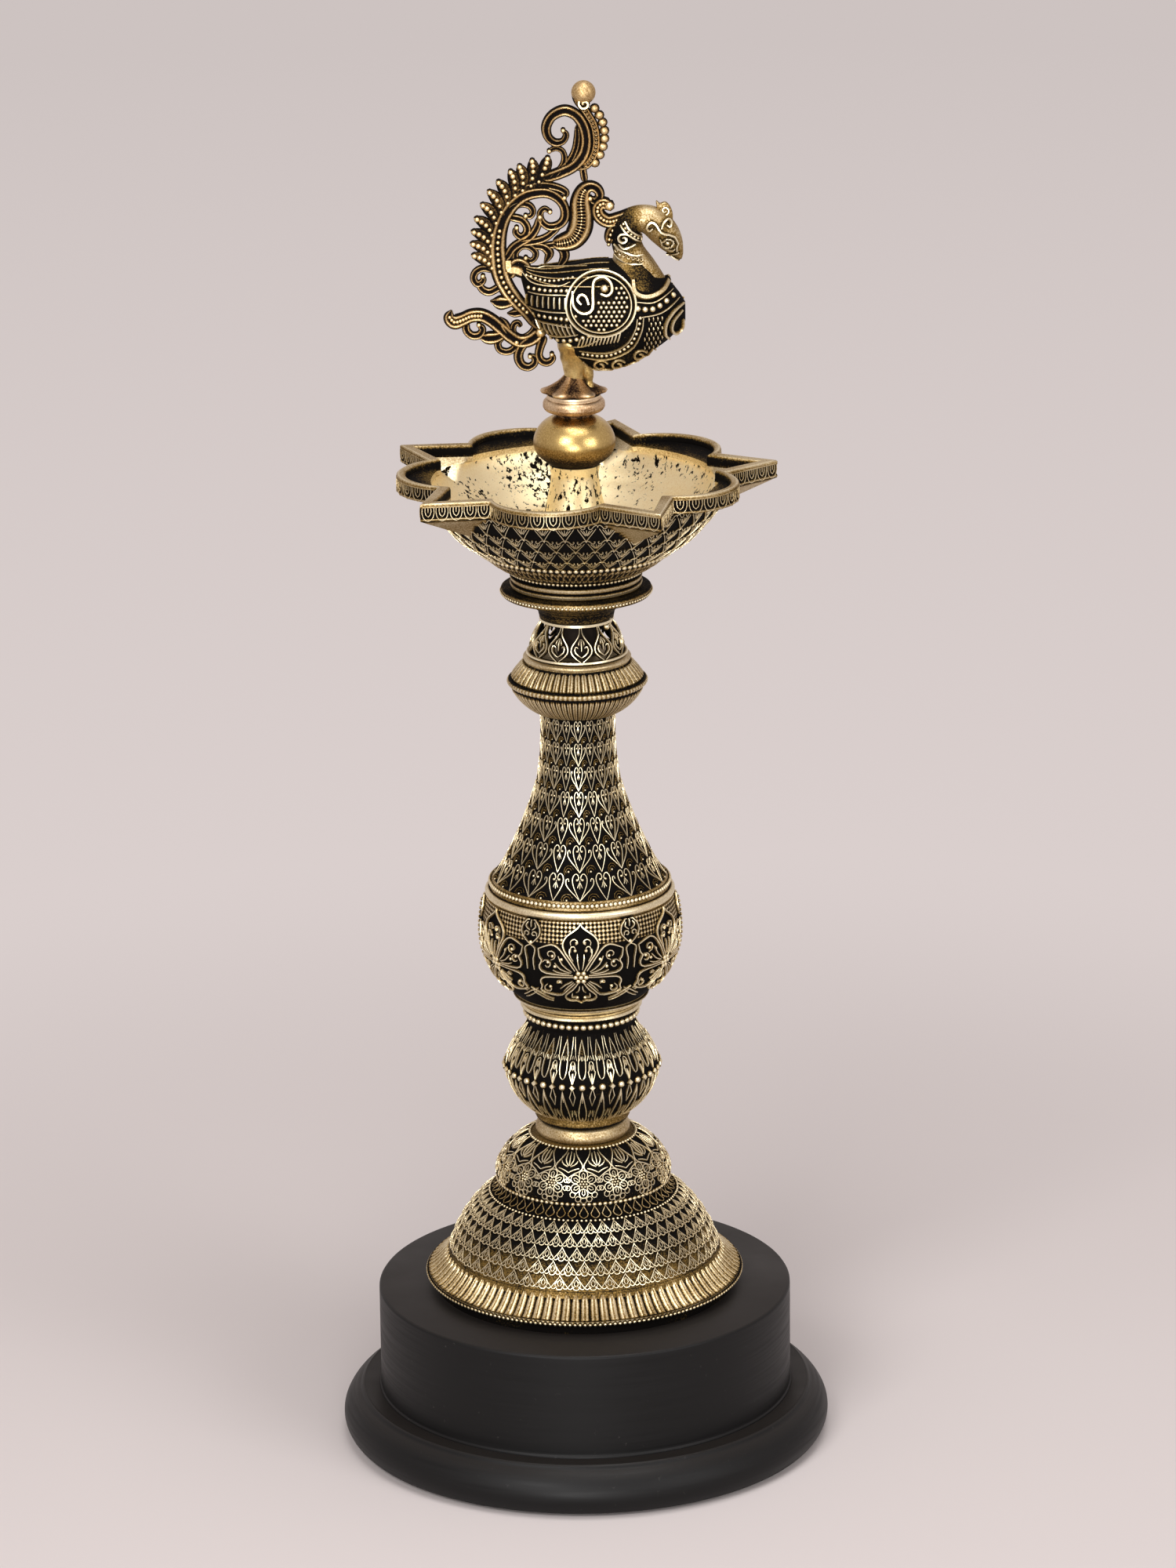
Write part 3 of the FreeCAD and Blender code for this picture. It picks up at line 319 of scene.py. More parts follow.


# Felt and steel: the CAD nodes stay, with materials whose colour and gloss follow one noise. The
# wool felt under the wood is dark, matt and fibrous. Rod, washer, nut, screws and studs are zinc
# plated, pale grey, and the coupler, which shows in the openwork, is brown black: painted shade
# for the dark inside of the basket.
def mottled(name, scale, detail, colours, rough, metal=0, specular=0.5, bump=0):
    """Material with noise of about 1 / scale metres between two colours and two roughnesses."""
    material, tree, shader = new_material(name)
    noise = add_node(tree, "TexNoise", {"Vector": add_node(tree, "TexCoord", {}, "Object"),
                                        "Scale": scale, "Detail": detail})
    tone = add_node(tree, "Mix", {0: noise, 6: linear(colours[0]), 7: linear(colours[1])}, 2,
                    data_type="RGBA")
    gloss = add_node(tree, "MapRange", {0: noise, 1: 0.3, 2: 0.7, 3: rough[0], 4: rough[1]})
    raised = add_node(tree, "Bump", {"Height": noise, "Strength": bump, "Distance": 0.2 * mm})
    add_node(tree, shader, {"Base Color": tone, "Roughness": gloss, "Metallic": metal,
                            "Specular IOR Level": specular, "Normal": raised})
    return material


felt = mottled("black_wool_felt", 1500, 6, ("#161618", "#3A393D"), (0.95, 0.95), bump=0.6)
steel = mottled("zinc_plated_steel", 350, 4, ("#8E9092", "#B9BABC"), (0.3, 0.45), metal=1)
# Brown black and low in gloss: painted shade for the inside of the openwork basket.
shade_painted_steel = mottled("shade_painted_coupler_steel", 500, 4, ("#120E0B", "#2B221A"), (0.75, 0.75), specular=0.15)
for material, node_names in (
        (felt, ("felt_pad",)), (shade_painted_steel, ("stem_coupler",)),
        (steel, ("base_screws", "tie_rod", "rod_washer", "rod_nut", "bowl_stud", "finial_stud"))):
    for node_name in node_names:
        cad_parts[node_name].data.materials.clear()
        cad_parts[node_name].data.materials.append(material)


# Base dome: sand-cast brass. Roped rim, flaring skirt of 98 gadroons, five rows of fifty scales
# that overlap like shingles, a line of fine beads and a ring of pointed leaves under the tier.
dome_shares = ((0.955, 0), (0.97, 0.08), (1, 0.11, 0.3), (1, 0.155), (0.968, 0.18, -0.08),
               (0.865, 0.345), (0.855, 0.365, 0.13), (0.635, 0.85, 0.1), (0.54, 0.93), (0.525, 1))
gadroon_count = 98
scale_count = 50
scale_rows = 5
plain_bead = ((0.0, 1.0, 1.0), (0.62, 0.76, 1.0), (1.0, 0.1, 0.1), (0.9, -0.5, -0.4))


def smooth(points, count):
    """Curve of count points through a few: Catmull-Rom, the cubic between each two points whose
    slope at a point is half the way from the point before to the point after."""
    p = np.array(points, float)
    p = np.concatenate([[2 * p[0] - p[1]], p, [2 * p[-1] - p[-2]]])
    t = np.linspace(0, len(p) - 3, count)
    k = np.minimum(t.astype(int), len(p) - 4)
    f = (t - k)[:, None]
    a, b, c, d = p[k], p[k + 1], p[k + 2], p[k + 3]
    return ((2 * b + (c - a) * f + (2 * a - 5 * b + 4 * c - d) * f ** 2
             + (3 * b - a - 3 * c + d) * f ** 3) / 2)


def repeat(place, line, count, level, first=0, high=None):
    """Copies of a line evenly round a turned surface, as turns and levels. The line's x goes
    round and its y goes up: in metres, or with high given as shares of the cell between levels."""
    turn = (first + np.arange(count) * 2 * np.pi / count)[:, None]
    if high is None:
        up = level + line[None, :, 1]
        across = line[None, :, 0] / place.radius(up)
    else:
        up = level + line[None, :, 1] * (high - level)
        across = line[None, :, 0] * 2 * np.pi / count
    return turn + across, np.broadcast_to(up, (count, len(line)))


def ridges(place, spots, width, height, ends=0.45, crown_worn=1.0):
    """Raised lines on a surface, one for each row of spots: a section of two flanks, a flattened
    crown and a sunk underside is carried along the points, smaller at both ends, and capped. The
    section's side is the normal crossed with the line's direction. The crown is worn, the feet
    aren't."""
    point, normal = place(*spots)
    ahead = np.gradient(point, axis=1)
    side = np.cross(normal, ahead)
    side /= np.linalg.norm(side, axis=-1, keepdims=True) + 1e-12
    lines, count = point.shape[:2]
    size = np.interp(np.linspace(0, 1, count), (0, 0.25, 0.75, 1), (ends, 1, 1, ends))
    size = size[None, :, None]
    sunk, crown = point - normal * height * 0.4, point + normal * height * size
    section = np.stack([sunk + side * width / 2 * size, crown + side * width / 5 * size,
                        crown - side * width / 5 * size, sunk - side * width / 2 * size], 2)
    start = (np.arange(lines)[:, None, None] * count + np.arange(count - 1)[:, None]) * 4
    k = np.arange(4)
    following = (k + 1) % 4
    quads = np.stack([start + k, start + following, start + following + 4, start + k + 4], -1)
    first = np.arange(lines)[:, None] * count * 4
    last = first + (count - 1) * 4
    caps = np.concatenate([first + (0, 3, 2, 1), last + (0, 1, 2, 3)])
    worn = np.broadcast_to((-0.5, crown_worn, crown_worn, -0.5), (lines, count, 4))
    return section.reshape(-1, 3), [np.concatenate([quads.reshape(-1, 4), caps])], worn.ravel()


def studs(place, spots, radius, shape=plain_bead, sides=7):
    """Beads on a surface: a small profile of radius, height and worn value is turned about the
    normal at each spot and closed by a fan above and below."""
    point, normal = (a.reshape(-1, 3) for a in place(*spots))
    across = np.cross(normal, (0.012, 0.021, 1.0))
    across /= np.linalg.norm(across, axis=-1, keepdims=True)
    other = np.cross(normal, across)
    size = np.broadcast_to(np.ravel(radius), len(point))[:, None, None]
    turn = np.arange(sides) * 2 * np.pi / sides
    table = np.array(shape)
    r = table[1:, 0, None]
    x, y = r * np.cos(turn), r * np.sin(turn)
    z = np.broadcast_to(table[1:, 1, None], x.shape)
    x, y, z = (np.concatenate([[0], a.ravel(), [0]]) for a in (x, y, z))
    z[0], z[-1] = table[0, 1], table[-1, 1]
    local = np.stack([x, y, z], -1)
    solid = point[:, None] + size * (local[None, :, :1] * across[:, None]
                                     + local[None, :, 1:2] * other[:, None]
                                     + local[None, :, 2:] * normal[:, None])
    rings = len(table) - 1
    k = np.arange(sides)
    after = (k + 1) % sides
    total = rings * sides + 2
    offsets = (np.arange(len(point)) * total)[:, None, None]
    tops = np.stack([k * 0, k + 1, after + 1], -1)
    bottom = 1 + (rings - 1) * sides
    ends = np.stack([k + bottom, k * 0 + total - 1, after + bottom], -1)
    quads = np.concatenate([np.stack([1 + j * sides + k, 1 + (j + 1) * sides + k,
                                      1 + (j + 1) * sides + after, 1 + j * sides + after], -1)
                            for j in range(rings - 1)])
    worn = np.concatenate([[table[0, 2]], np.repeat(table[1:, 2], sides), [0]])
    return (solid.reshape(-1, 3), [(quads + offsets).reshape(-1, 4),
                                   (np.concatenate([tops, ends]) + offsets).reshape(-1, 3)],
            np.tile(worn, len(point)))


def bead_ring(place, count, level, radius, first=0, sides=7, shape=plain_bead):
    """Beads evenly round a turned surface at one level."""
    turn = first + np.arange(count) * 2 * np.pi / count
    return studs(place, (turn, np.full(count, level)), radius, shape, sides)


def pattern(place, lines, count, low, high, width, height, first=0, ends=0.45, crown_worn=1.0):
    """Ridges for a motif's lines, repeated round the surface between two levels, or in metres
    from the lower one where high is None."""
    return [ridges(place, repeat(place, line, count, low, first, high), width, height, ends,
                   crown_worn) for line in lines]


def mirrored(lines):
    """The lines, and the same lines with their x turned over."""
    return list(lines) + [line * (-1, 1) for line in lines]


def cast_brass(name, dark, middle, bright, polish):
    """Antiqued brass casting. The casting was dipped in a brown-black patina and then buffed, so
    colour and gloss follow the attribute worn: 0 in the recesses keeps the patina, 1 on top of
    the relief is bright metal. A fine speckle of about 0.5 mm leaves pits of patina in the
    metal, and a broad one of about 12 mm makes some places brighter than others."""
    material, tree, shader = new_material(name)
    spot = add_node(tree, "TexCoord", {}, "Object")
    fine, broad = (add_node(tree, "TexNoise", {"Vector": spot, "Scale": scale, "Detail": 3})
                   for scale in (2000, 80))
    height = add_node(tree, "Attribute", {}, "Fac", attribute_name="worn")
    for noise, most in ((fine, 0.16), (broad, 0.1)):
        change = add_node(tree, "MapRange", {0: noise, 1: 0.3, 2: 0.7, 3: -most, 4: most})
        height = add_node(tree, "Math", {0: height, 1: change}, operation="ADD")
    metallic = add_node(tree, "MapRange", {0: height, 1: 0.14, 2: 0.62},
                        interpolation_type="SMOOTHSTEP")
    shiny = add_node(tree, "MapRange", {0: height, 1: 0.45, 2: 1.05})
    metal = add_node(tree, "Mix", {0: shiny, 6: linear(middle), 7: linear(bright)}, 2,
                     data_type="RGBA")
    tone = add_node(tree, "Mix", {0: metallic, 6: linear(dark), 7: metal}, 2, data_type="RGBA")
    rough = add_node(tree, "MapRange", {0: height, 1: 0, 2: 1.1, 3: 0.75, 4: polish})
    bump = add_node(tree, "Bump", {"Height": fine, "Strength": 0.22, "Distance": 0.12 * mm})
    add_node(tree, shader, {"Base Color": tone, "Metallic": metallic, "Specular IOR Level": 0.05,
                            "Roughness": rough, "Normal": bump})
    return material


antique_brass = cast_brass("antiqued_cast_brass", "#0A0807", "#97783F", "#FBEFCB", 0.3)
place = node_surface(dome_shares, "base_dome")
skirt_low, skirt_high = place.level_at(0.15), place.level_at(0.35)
scales_low, scales_high = place.level_at(0.365), place.level_at(0.885)
row_height = (scales_high - scales_low) / scale_rows


def fluting(count, low, high, rise, pointed=0.16):
    """Relief of upright flutes between two levels. With x the way from a flute's middle in
    flutes, its height is the arc sqrt(1 - (x / 0.47)^2), less a groove 0.3 exp(-(x / 0.07)^2),
    and it ends above in a point. It is worn bright along two lines at |x| = 0.21, more so
    towards the top, and brown in the groove and in the gaps."""
    def relief(turn, level):
        share = (level - low) / (high - low)
        x = np.abs((turn * count / (2 * np.pi)) % 1 - 0.5)
        height = (np.sqrt(np.clip(1 - (x / 0.47) ** 2, 0, 1)) - 0.3 * np.exp(-(x / 0.07) ** 2))
        fade = np.clip(share / 0.06, 0, 1) * np.clip((1 - pointed * 4 * x ** 2 - share) / 0.08, 0, 1)
        inside = (share > 0) & (share < 1)
        lines = np.exp(-((x - 0.21) / 0.1) ** 2) * (0.6 + 0.4 * share)
        return (np.where(inside, height * fade - 0.9, 0) * rise,
                np.where(inside, np.where(x > 0.42, 0.04, 0.34 + 0.76 * lines) * fade + 0.05, 0.12))
    return relief


def shingles(turn, level):
    """Steps of the scale rows: the lift falls from 0.1 mm at a row's lower edge to -0.4 mm at its
    upper edge, as a sawtooth of the level. The lower rows' ground is rubbed to a brown gold."""
    row = (level - scales_low) / row_height
    inside = (row > 0) & (row < scale_rows)
    return (np.where(inside, 0.1 - 0.5 * (row % 1), -0.4) * mm,
            np.interp(row, (0, 1.6, 2.6, 3.6, 5), (0.34, 0.27, 0.14, 0.05, 0.02)))


def lifted(place, relief):
    """The same surface with a relief's lift added."""
    def risen(turn, level):
        point, normal = place(turn, level)
        return point + normal * relief(turn, np.broadcast_to(level, turn.shape))[0][..., None], normal
    return risen


def skirt(turn, level):
    """Rim roped by |sin(count turn + level)|, the fluting above it, and the foot below the rim kept
    dark: black glue there, and painted shadow under the rim.
    """
    lift, worn = fluting(gadroon_count, skirt_low, skirt_high, 0.9 * mm, 0.45)(turn, level)
    rope = np.abs(np.sin(turn * gadroon_count + level / mm * 0.6)) ** 0.7
    edge = (level > place.level_at(0.1)) & (level < skirt_low)
    return (np.where(edge, (rope - 1.6) * 0.3 * mm, np.where(level < skirt_low, -0.1 * mm, lift)),
            np.where(edge, 0.26 + rope * 0.5, np.where(level < skirt_low, 0.06, worn)))


skirt_levels = np.concatenate([
    np.linspace(0, place.level_at(0.1), 4), np.linspace(place.level_at(0.105), skirt_low, 8),
    np.linspace(skirt_low, skirt_high, 20)[1:], [skirt_high + 0.4 * mm]])
scale_levels = np.concatenate([
    [skirt_high - 2 * mm],
    *(scales_low + row_height * (row + np.array((0.001, 0.3, 0.6, 0.995))) for row in range(scale_rows)),
    np.linspace(scales_high + 0.3 * mm, place.length, 8)])
parts = [revolve(place, gadroon_count * 8, skirt_levels, skirt),
         revolve(place, 200, scale_levels, shingles),
         bead_ring(place, 130, scales_high + 0.3 * mm, 0.5 * mm),
         bead_ring(place, 200, place.level_at(0.12), 0.68 * mm, sides=6)]
edge_lines = [smooth([(-0.5, 0.16), (-0.43, 0.02), (-0.3, 0.02), (-0.2, 0.14), (-0.13, -0.02),
                      (0, -0.07), (0.13, -0.02), (0.2, 0.14), (0.3, 0.02), (0.43, 0.02),
                      (0.5, 0.16)], 19)]
scale_lines = mirrored([smooth([(0.03, 1.04), (-0.13, 0.74), (-0.29, 0.46), (-0.47, 0.16)], 5),
                        smooth([(0, 0.72), (-0.1, 0.5), (-0.11, 0.34), (-0.02, 0.2)], 6),
                        smooth([(-0.13, 0.6), (-0.25, 0.38), (-0.25, 0.24), (-0.12, 0.16)], 6)])
risen = lifted(place, shingles)
for row in range(scale_rows):
    low_level = scales_low + row * row_height
    for lines, width, height in ((edge_lines, 0.56 * mm, 0.45 * mm),
                                 (scale_lines[::3], 0.46 * mm, 0.4 * mm),
                                 (scale_lines[1::3] + scale_lines[2::3], 0.34 * mm, 0.35 * mm)):
        parts += pattern(risen, [line * (1, 0.92) + (0, 0.07) for line in lines], scale_count,
                         low_level, low_level + row_height, width, height,
                         (row % 2) * np.pi / scale_count, 0.8)
leaf = mirrored([smooth([(0, 1.0), (-0.35, 0.5), (-0.3, 0.15), (0, 0.0)], 6)])
# The leaves' crowns are worn to only 0.56, darker than the other relief: painted shade under the tier.
parts += pattern(place, leaf, 48, scales_high + 1.2 * mm, place.length - 0.3 * mm, 0.6 * mm,
                 0.4 * mm, crown_worn=0.56)
make_piece("dome_casting", "base_dome", parts, antique_brass)


# Flower tier: cast brass cap on the dome, with a beaded lower edge, sixteen rosettes of six
# curled petals in a row, and an ogee arch with a fan of leaves between each two above them.
tier_shares = ((0.955, 0), (0.985, 0.03, 0.2), (0.985, 0.34, 0.19), (0.6, 1))
rosette_count = 16


def drop(x, y, heading, length, width, count=8):
    """Closed drop: its point is at (x, y) and its round end lies length away at a heading. At t
    it is length (1 - cos 2 pi t) / 2 ahead and width sin(2 pi t) sin(pi t) / 1.54 to the side."""
    t = np.linspace(0, 1, count)
    ahead = length * (1 - np.cos(2 * np.pi * t)) / 2
    aside = width * np.sin(2 * np.pi * t) * np.sin(np.pi * t) / 1.54
    c, s = math.cos(heading), math.sin(heading)
    return np.stack([x + ahead * c - aside * s, y + ahead * s + aside * c], -1)


def curl(x, y, outer, inner, start, end, count=8):
    """Spiral about (x, y): its radius goes evenly from outer to inner as its angle does from
    start to end, in turns."""
    t = np.linspace(0, 1, count)
    angle = 2 * np.pi * (start + (end - start) * t)
    r = outer + (inner - outer) * t
    return np.stack([x + r * np.cos(angle), y + r * np.sin(angle)], -1)


place = node_surface(tier_shares, "flower_tier", 0.5 * mm)
rosette_level, arch_level = place.level_at(0.45), place.level_at(0.62)


def tier_wear(turn, level):
    """No relief: a faint sheen at the foot, a dark ground and a half worn top edge."""
    foot = 0.1 * (level < place.level_at(0.2))
    return 0 * turn, np.where(level > place.level_at(0.985), 0.4, foot)


parts = [revolve(place, 160, 40, tier_wear),
         bead_ring(place, 100, place.level_at(0.05), 0.85 * mm),
         bead_ring(place, 78, place.level_at(0.985), 0.62 * mm)]
sixths = np.arange(6) * np.pi / 3
for angle in np.pi / 2 + sixths:
    c, s = math.cos(angle), math.sin(angle)
    petal = curl(2.9 * mm * c, 2.9 * mm * s, 1.42 * mm, 1.3 * mm, angle / (2 * np.pi) + 0.5,
                 angle / (2 * np.pi) + 1.5, 11)
    heart = drop(1.2 * mm * c, 1.2 * mm * s, angle, 2.3 * mm, 1.0 * mm, 7)
    for line, width in ((petal, 0.54 * mm), (heart, 0.36 * mm)):
        parts += pattern(place, [line], rosette_count, rosette_level, None, width, 0.7 * mm,
                         ends=0.9)
for x, y in [(0.95 * mm * math.cos(a), 0.95 * mm * math.sin(a)) for a in sixths] + [(0, 0)]:
    parts.append(bead_ring(place, rosette_count, rosette_level + y, 0.45 * mm,
                           x / place.radius(rosette_level)))
pendants = [curl(x * mm, y * mm, size * mm, size * 0.85 * mm, 0, 1, 8)
            for x, y, size in ((-1.75, -4.6, 0.95), (0, -5.1, 1.1), (1.75, -4.6, 0.95),
                               (-3.4, -3.3, 0.95), (3.4, -3.3, 0.95), (-4.8, -1.4, 0.8),
                               (4.8, -1.4, 0.8), (-4.7, 0.9, 0.7), (4.7, 0.9, 0.7))]
parts += pattern(place, pendants, rosette_count, rosette_level, None, 0.46 * mm, 0.6 * mm, ends=1)
arch = mirrored([smooth([(0, -0.16), (-0.2, 0.0), (-0.42, 0.12), (-0.48, 0.3), (-0.34, 0.56),
                         (-0.22, 0.8), (-0.18, 1.0)], 12),
                 smooth([(0, 0.04), (-0.18, 0.14), (-0.36, 0.2)], 5),
                 smooth([(-0.05, 0.26), (-0.24, 0.36), (-0.3, 0.5)], 4),
                 smooth([(-0.03, 0.3), (-0.15, 0.52), (-0.12, 0.84)], 5)])
arch.append(np.array([(0, 0.3), (0, 0.6), (0, 0.9)]))
parts += pattern(place, arch, rosette_count, arch_level, place.level_at(0.97), 0.66 * mm, 0.6 * mm,
                 np.pi / rosette_count, 0.8)
make_piece("flower_tier_casting", "flower_tier", parts, antique_brass)


# Stem ring: plain half-round brass ring, buffed brighter than the castings round it.
ring_shares = ((0.94, 0), (0.96, 0.05, 0.4), (0.97, 0.72, 0.4), (0.87, 0.97), (0.84, 1))


def buffed(turn, level):
    """No relief, worn nearly bright, with patina left in the corners above and below."""
    share = level / place.length
    corners = np.exp(-(share / 0.1) ** 2) + np.exp(-((1 - share) / 0.1) ** 2)
    return 0 * turn, 0.64 - 0.6 * corners


place = node_surface(ring_shares, "stem_ring")
make_piece("plain_ring", "stem_ring", [revolve(place, 96, 24, buffed)], antique_brass)


# Lotus knop: cast brass bud of two halves. Above its row of 48 beads stand 24 long loops with
# zigzag tops and 24 spades between them, and below it 24 pointed drops with small leaves.
knop_shares = ((0.57, 0), (0.6, 0.015, 0.6), (0.6, 0.085), (0.603, 0.1, 0.24), (1, 0.545, 0.13),
               (0.71, 0.92), (0.7, 1))
column_count = 24
place = node_surface(knop_shares, "lotus_knop", 0.4 * mm)
equator = place.level_at(0.545)


def knop_wear(turn, level):
    """Half worn plain ring at the foot, dark ground, and from 0.78 of the height up 24 black
    wedges between gold brown ones that narrow upwards."""
    share = (level - place.level_at(0.78)) / (place.length - place.level_at(0.78))
    wedge = np.abs(((turn * column_count / (2 * np.pi) + 0.5) % 1) * 2 - 1)
    gold = (share > 0) & (wedge < 0.75 - 0.75 * share)
    low_ring = np.where(level < place.level_at(0.035), 0, 0.42)
    return (np.where(gold, 0.3, 0) * np.clip(share * 4, 0, 1) * mm,
            np.where(level < place.level_at(0.11), low_ring, np.where(gold, 0.22, 0.0)))


parts = [revolve(place, 384, 60, knop_wear),
         bead_ring(place, column_count, equator, 1.2 * mm, sides=9),
         bead_ring(place, column_count, equator, 1.15 * mm, np.pi / column_count, 4,
                   ((0.0, 0.85, 1.0), (0.7, 0.8, 1.0), (1.0, 0.2, 0.2), (1.0, -0.5, -0.4)))]
upper = mirrored([smooth([(0, 0.12), (-0.11, 0.2), (-0.19, 0.45), (-0.19, 0.8), (-0.21, 1.0)], 9),
                  np.array([(-0.21, 1.0), (-0.12, 0.8), (-0.06, 0.94), (0, 0.78)]),
                  smooth([(-0.5, -0.08), (-0.42, 0.12), (-0.32, 0.38), (-0.37, 0.44), (-0.38, 0.62),
                          (-0.43, 0.74), (-0.5, 0.78)], 12),
                  smooth([(-0.5, 0.44), (-0.45, 0.5), (-0.45, 0.6), (-0.5, 0.66)], 5),
                  np.array([(-0.5, 0.98), (-0.44, 0.84), (-0.37, 0.98), (-0.3, 0.8)])])
spade_middle = [np.array([(0.5, -0.04), (0.5, 0.16), (0.5, 0.34)])]
points_above = mirrored([np.array([(-0.2, 0.0), (-0.12, 0.4), (0, 0.8)]),
                         np.array([(-0.37, 0.1), (-0.41, 0.5), (-0.43, 0.9)])])
lower = mirrored([smooth([(0, 1.0), (-0.1, 0.76), (-0.22, 0.45), (-0.2, 0.16), (-0.06, 0.0)], 8),
                  np.array([(0, 0.22), (-0.07, 0.08), (-0.12, 0.0)]),
                  np.array([(-0.5, 1.08), (-0.36, 0.88), (-0.5, 0.64)]),
                  np.array([(-0.5, 0.34), (-0.44, 0.54), (-0.38, 0.3), (-0.32, 0.48)]),
                  np.array([(-0.4, 0.2), (-0.38, 0.1), (-0.38, 0.0)])])
drop_tips = [np.array([(0, 0.98), (0, 0.86), (0, 0.72)])]
above, below = (equator + 1.3 * mm, place.level_at(0.82)), (place.level_at(0.12), equator - 1.4 * mm)
for lines, levels, width, height in (
        (upper, above, 0.58 * mm, 0.7 * mm), (spade_middle, above, 1.5 * mm, 0.5 * mm),
        (points_above, (place.level_at(0.79), place.length), 0.4 * mm, 0.5 * mm),
        (lower, below, 0.58 * mm, 0.7 * mm), (drop_tips, below, 0.9 * mm, 0.5 * mm)):
    parts += pattern(place, lines, column_count, *levels, width, height)
make_piece("lotus_knop_casting", "lotus_knop", parts, antique_brass)


# Vase foot: cast brass, two plain rings over a row of 49 large beads.
foot_shares = ((0.8, 0), (0.823, 0.12), (0.823, 0.36), (0.85, 0.4), (0.885, 0.44, 0.7),
               (0.885, 0.58), (0.86, 0.61), (0.95, 0.8), (1, 0.86, 0.6), (1, 0.97), (0.96, 1))
foot_bead_count = 49


def foot_wear(turn, level):
    """Bright rings with dark grooves between them and a dark ground behind the beads."""
    share = level / place.length
    groove = np.exp(-((share - 0.62) / 0.035) ** 2) + np.exp(-((share - 0.93) / 0.03) ** 2)
    return -0.3 * groove * mm, np.where(share > 0.44, 0.88 - 0.85 * groove, 0.03)


place = node_surface(foot_shares, "vase_foot")
parts = [revolve(place, 128, 64, foot_wear),
         bead_ring(place, foot_bead_count, place.level_at(0.25), 1.12 * mm, sides=9)]
make_piece("vase_foot_casting", "vase_foot", parts, antique_brass)


# Vase bulb: cast brass with six large flower medallions: an ogee petal above, two wide petals on
# either side and a heart below, with scrolls, rays and beads in them. Between the medallions hang
# onion-shaped drops, and the ground beside these is a punched net.
bulb_shares = ((0.69, 0, 0.235), (1, 0.64, 0.05), (0.958, 1))
medallion_count = 6
net_columns, net_pitch = 144, 1.35 * mm
motif_size = 0.94 * mm
place = node_surface(bulb_shares, "vase_bulb", 0.75 * mm)
heart_level = place.level_at(0.44)
first_medallion = -np.pi / 2
half_step = np.pi / medallion_count


def net(turn, level):
    """Punched holes on a square net: with d the way to the next hole in pitches, worn is
    6 (d - 0.35). It lies above the flowers' wide petals and outside the drops between them."""
    holes = [((a + 0.5) % 1) - 0.5 for a in (turn * net_columns / (2 * np.pi), level / net_pitch)]
    d = np.hypot(*holes)
    x = (((turn - first_medallion) / (2 * half_step) + 0.5) % 1 - 0.5) * 2 * half_step
    x, y = np.abs(x) * place.radius(level), level - heart_level
    beside = half_step * place.radius(level) - x
    shown = ((x > np.interp(y, np.array((8, 11, 13.4, 15.4, 17.9)) * mm,
                            np.array((6, 5.8, 4.4, 2.2, 0)) * mm)) & (y > 11 * mm)
             & (beside > np.interp(y, np.array((10, 12, 15, 20)) * mm,
                                   np.array((0, 2, 3.4, 1)) * mm)))
    return (np.where(shown, -0.15 * (d < 0.35), -0.1) * mm,
            np.where(shown, np.clip((d - 0.35) * 6, 0, 1), 0))


ogee_petal = mirrored([smooth([(-0.9, 2.2), (-2.8, 5.6), (-5.0, 9.0), (-5.8, 11.7), (-4.7, 14.2),
                               (-2.3, 16.1), (-0.5, 17.6), (0, 19.0)], 16)])
side_petals = mirrored([
    smooth([(2.0, 2.6), (4.6, 6.8), (7.0, 10.2), (9.2, 11.4), (11.4, 10.9), (14.2, 9.6)], 12),
    smooth([(14.2, 9.6), (13.8, 7.0), (12.9, 5.8), (13.8, 3.6), (12.2, 1.7), (7.0, 1.2),
            (2.6, 0.9)], 14),
    smooth([(2.4, 0.2), (8.0, 0.2), (12.0, -0.1), (13.4, -1.6), (12.8, -3.8), (13.2, -5.6),
            (10.0, -7.0), (6.4, -7.2), (4.4, -5.0), (1.9, -2.2)], 20)])
heart_petal = mirrored([smooth([(-0.9, -2.0), (-2.6, -4.6), (-4.8, -6.9), (-4.8, -8.8),
                                (-3.2, -10.0), (-1.3, -10.0), (0, -11.6)], 12)])
scrolls = mirrored([curl(-1.9, 12.3, 1.6, 0.7, 0.6, -0.2, 8),
                    smooth([(-3.3, 9.0), (-3.2, 10.8), (-2.0, 11.0), (-1.7, 9.6)], 6),
                    smooth([(-2.5, 6.0), (-3.6, 8.2), (-3.6, 10.2)], 5),
                    smooth([(-0.5, 3.0), (-1.0, 6.0), (-1.1, 8.4)], 5),
                    curl(9.9, 8.0, 1.9, 0.8, 0.75, -0.15, 9), curl(11.2, 4.6, 1.7, 0.8, 0.05, 0.9, 8),
                    smooth([(3.0, 2.2), (6.0, 4.8), (7.4, 7.6)], 5),
                    smooth([(3.2, 1.8), (6.6, 3.2), (8.6, 5.2)], 5),
                    smooth([(3.8, 1.6), (7.0, 1.9), (9.2, 2.6)], 4),
                    curl(10.6, -4.6, 1.7, 0.7, 0.2, -0.7, 8), curl(7.2, -1.8, 1.1, 0.5, 0.6, -0.2, 6),
                    smooth([(2.8, -1.4), (5.0, -2.6), (6.8, -4.6)], 5),
                    smooth([(2.4, -1.8), (4.2, -3.4), (5.6, -5.6)], 5),
                    smooth([(-2.8, -6.6), (-2.9, -8.2), (-1.4, -8.2)], 5),
                    smooth([(-0.5, -3.4), (-0.7, -5.0), (-1.6, -6.2)], 4)])
scroll_beads = mirrored([np.array([(-1.3, 12.2), (-1.8, 9.5), (9.4, 7.4), (11.0, 5.2), (10.2, -4.2),
                                   (7.0, -2.0), (-1.3, -8.9), (6.4, 6.4), (8.6, 3.8)])])
middle_beads = [np.array([(0, 0)] + [(1.75 * math.cos(k * np.pi / 3), 1.75 * math.sin(k * np.pi / 3))
                                     for k in range(6)])]
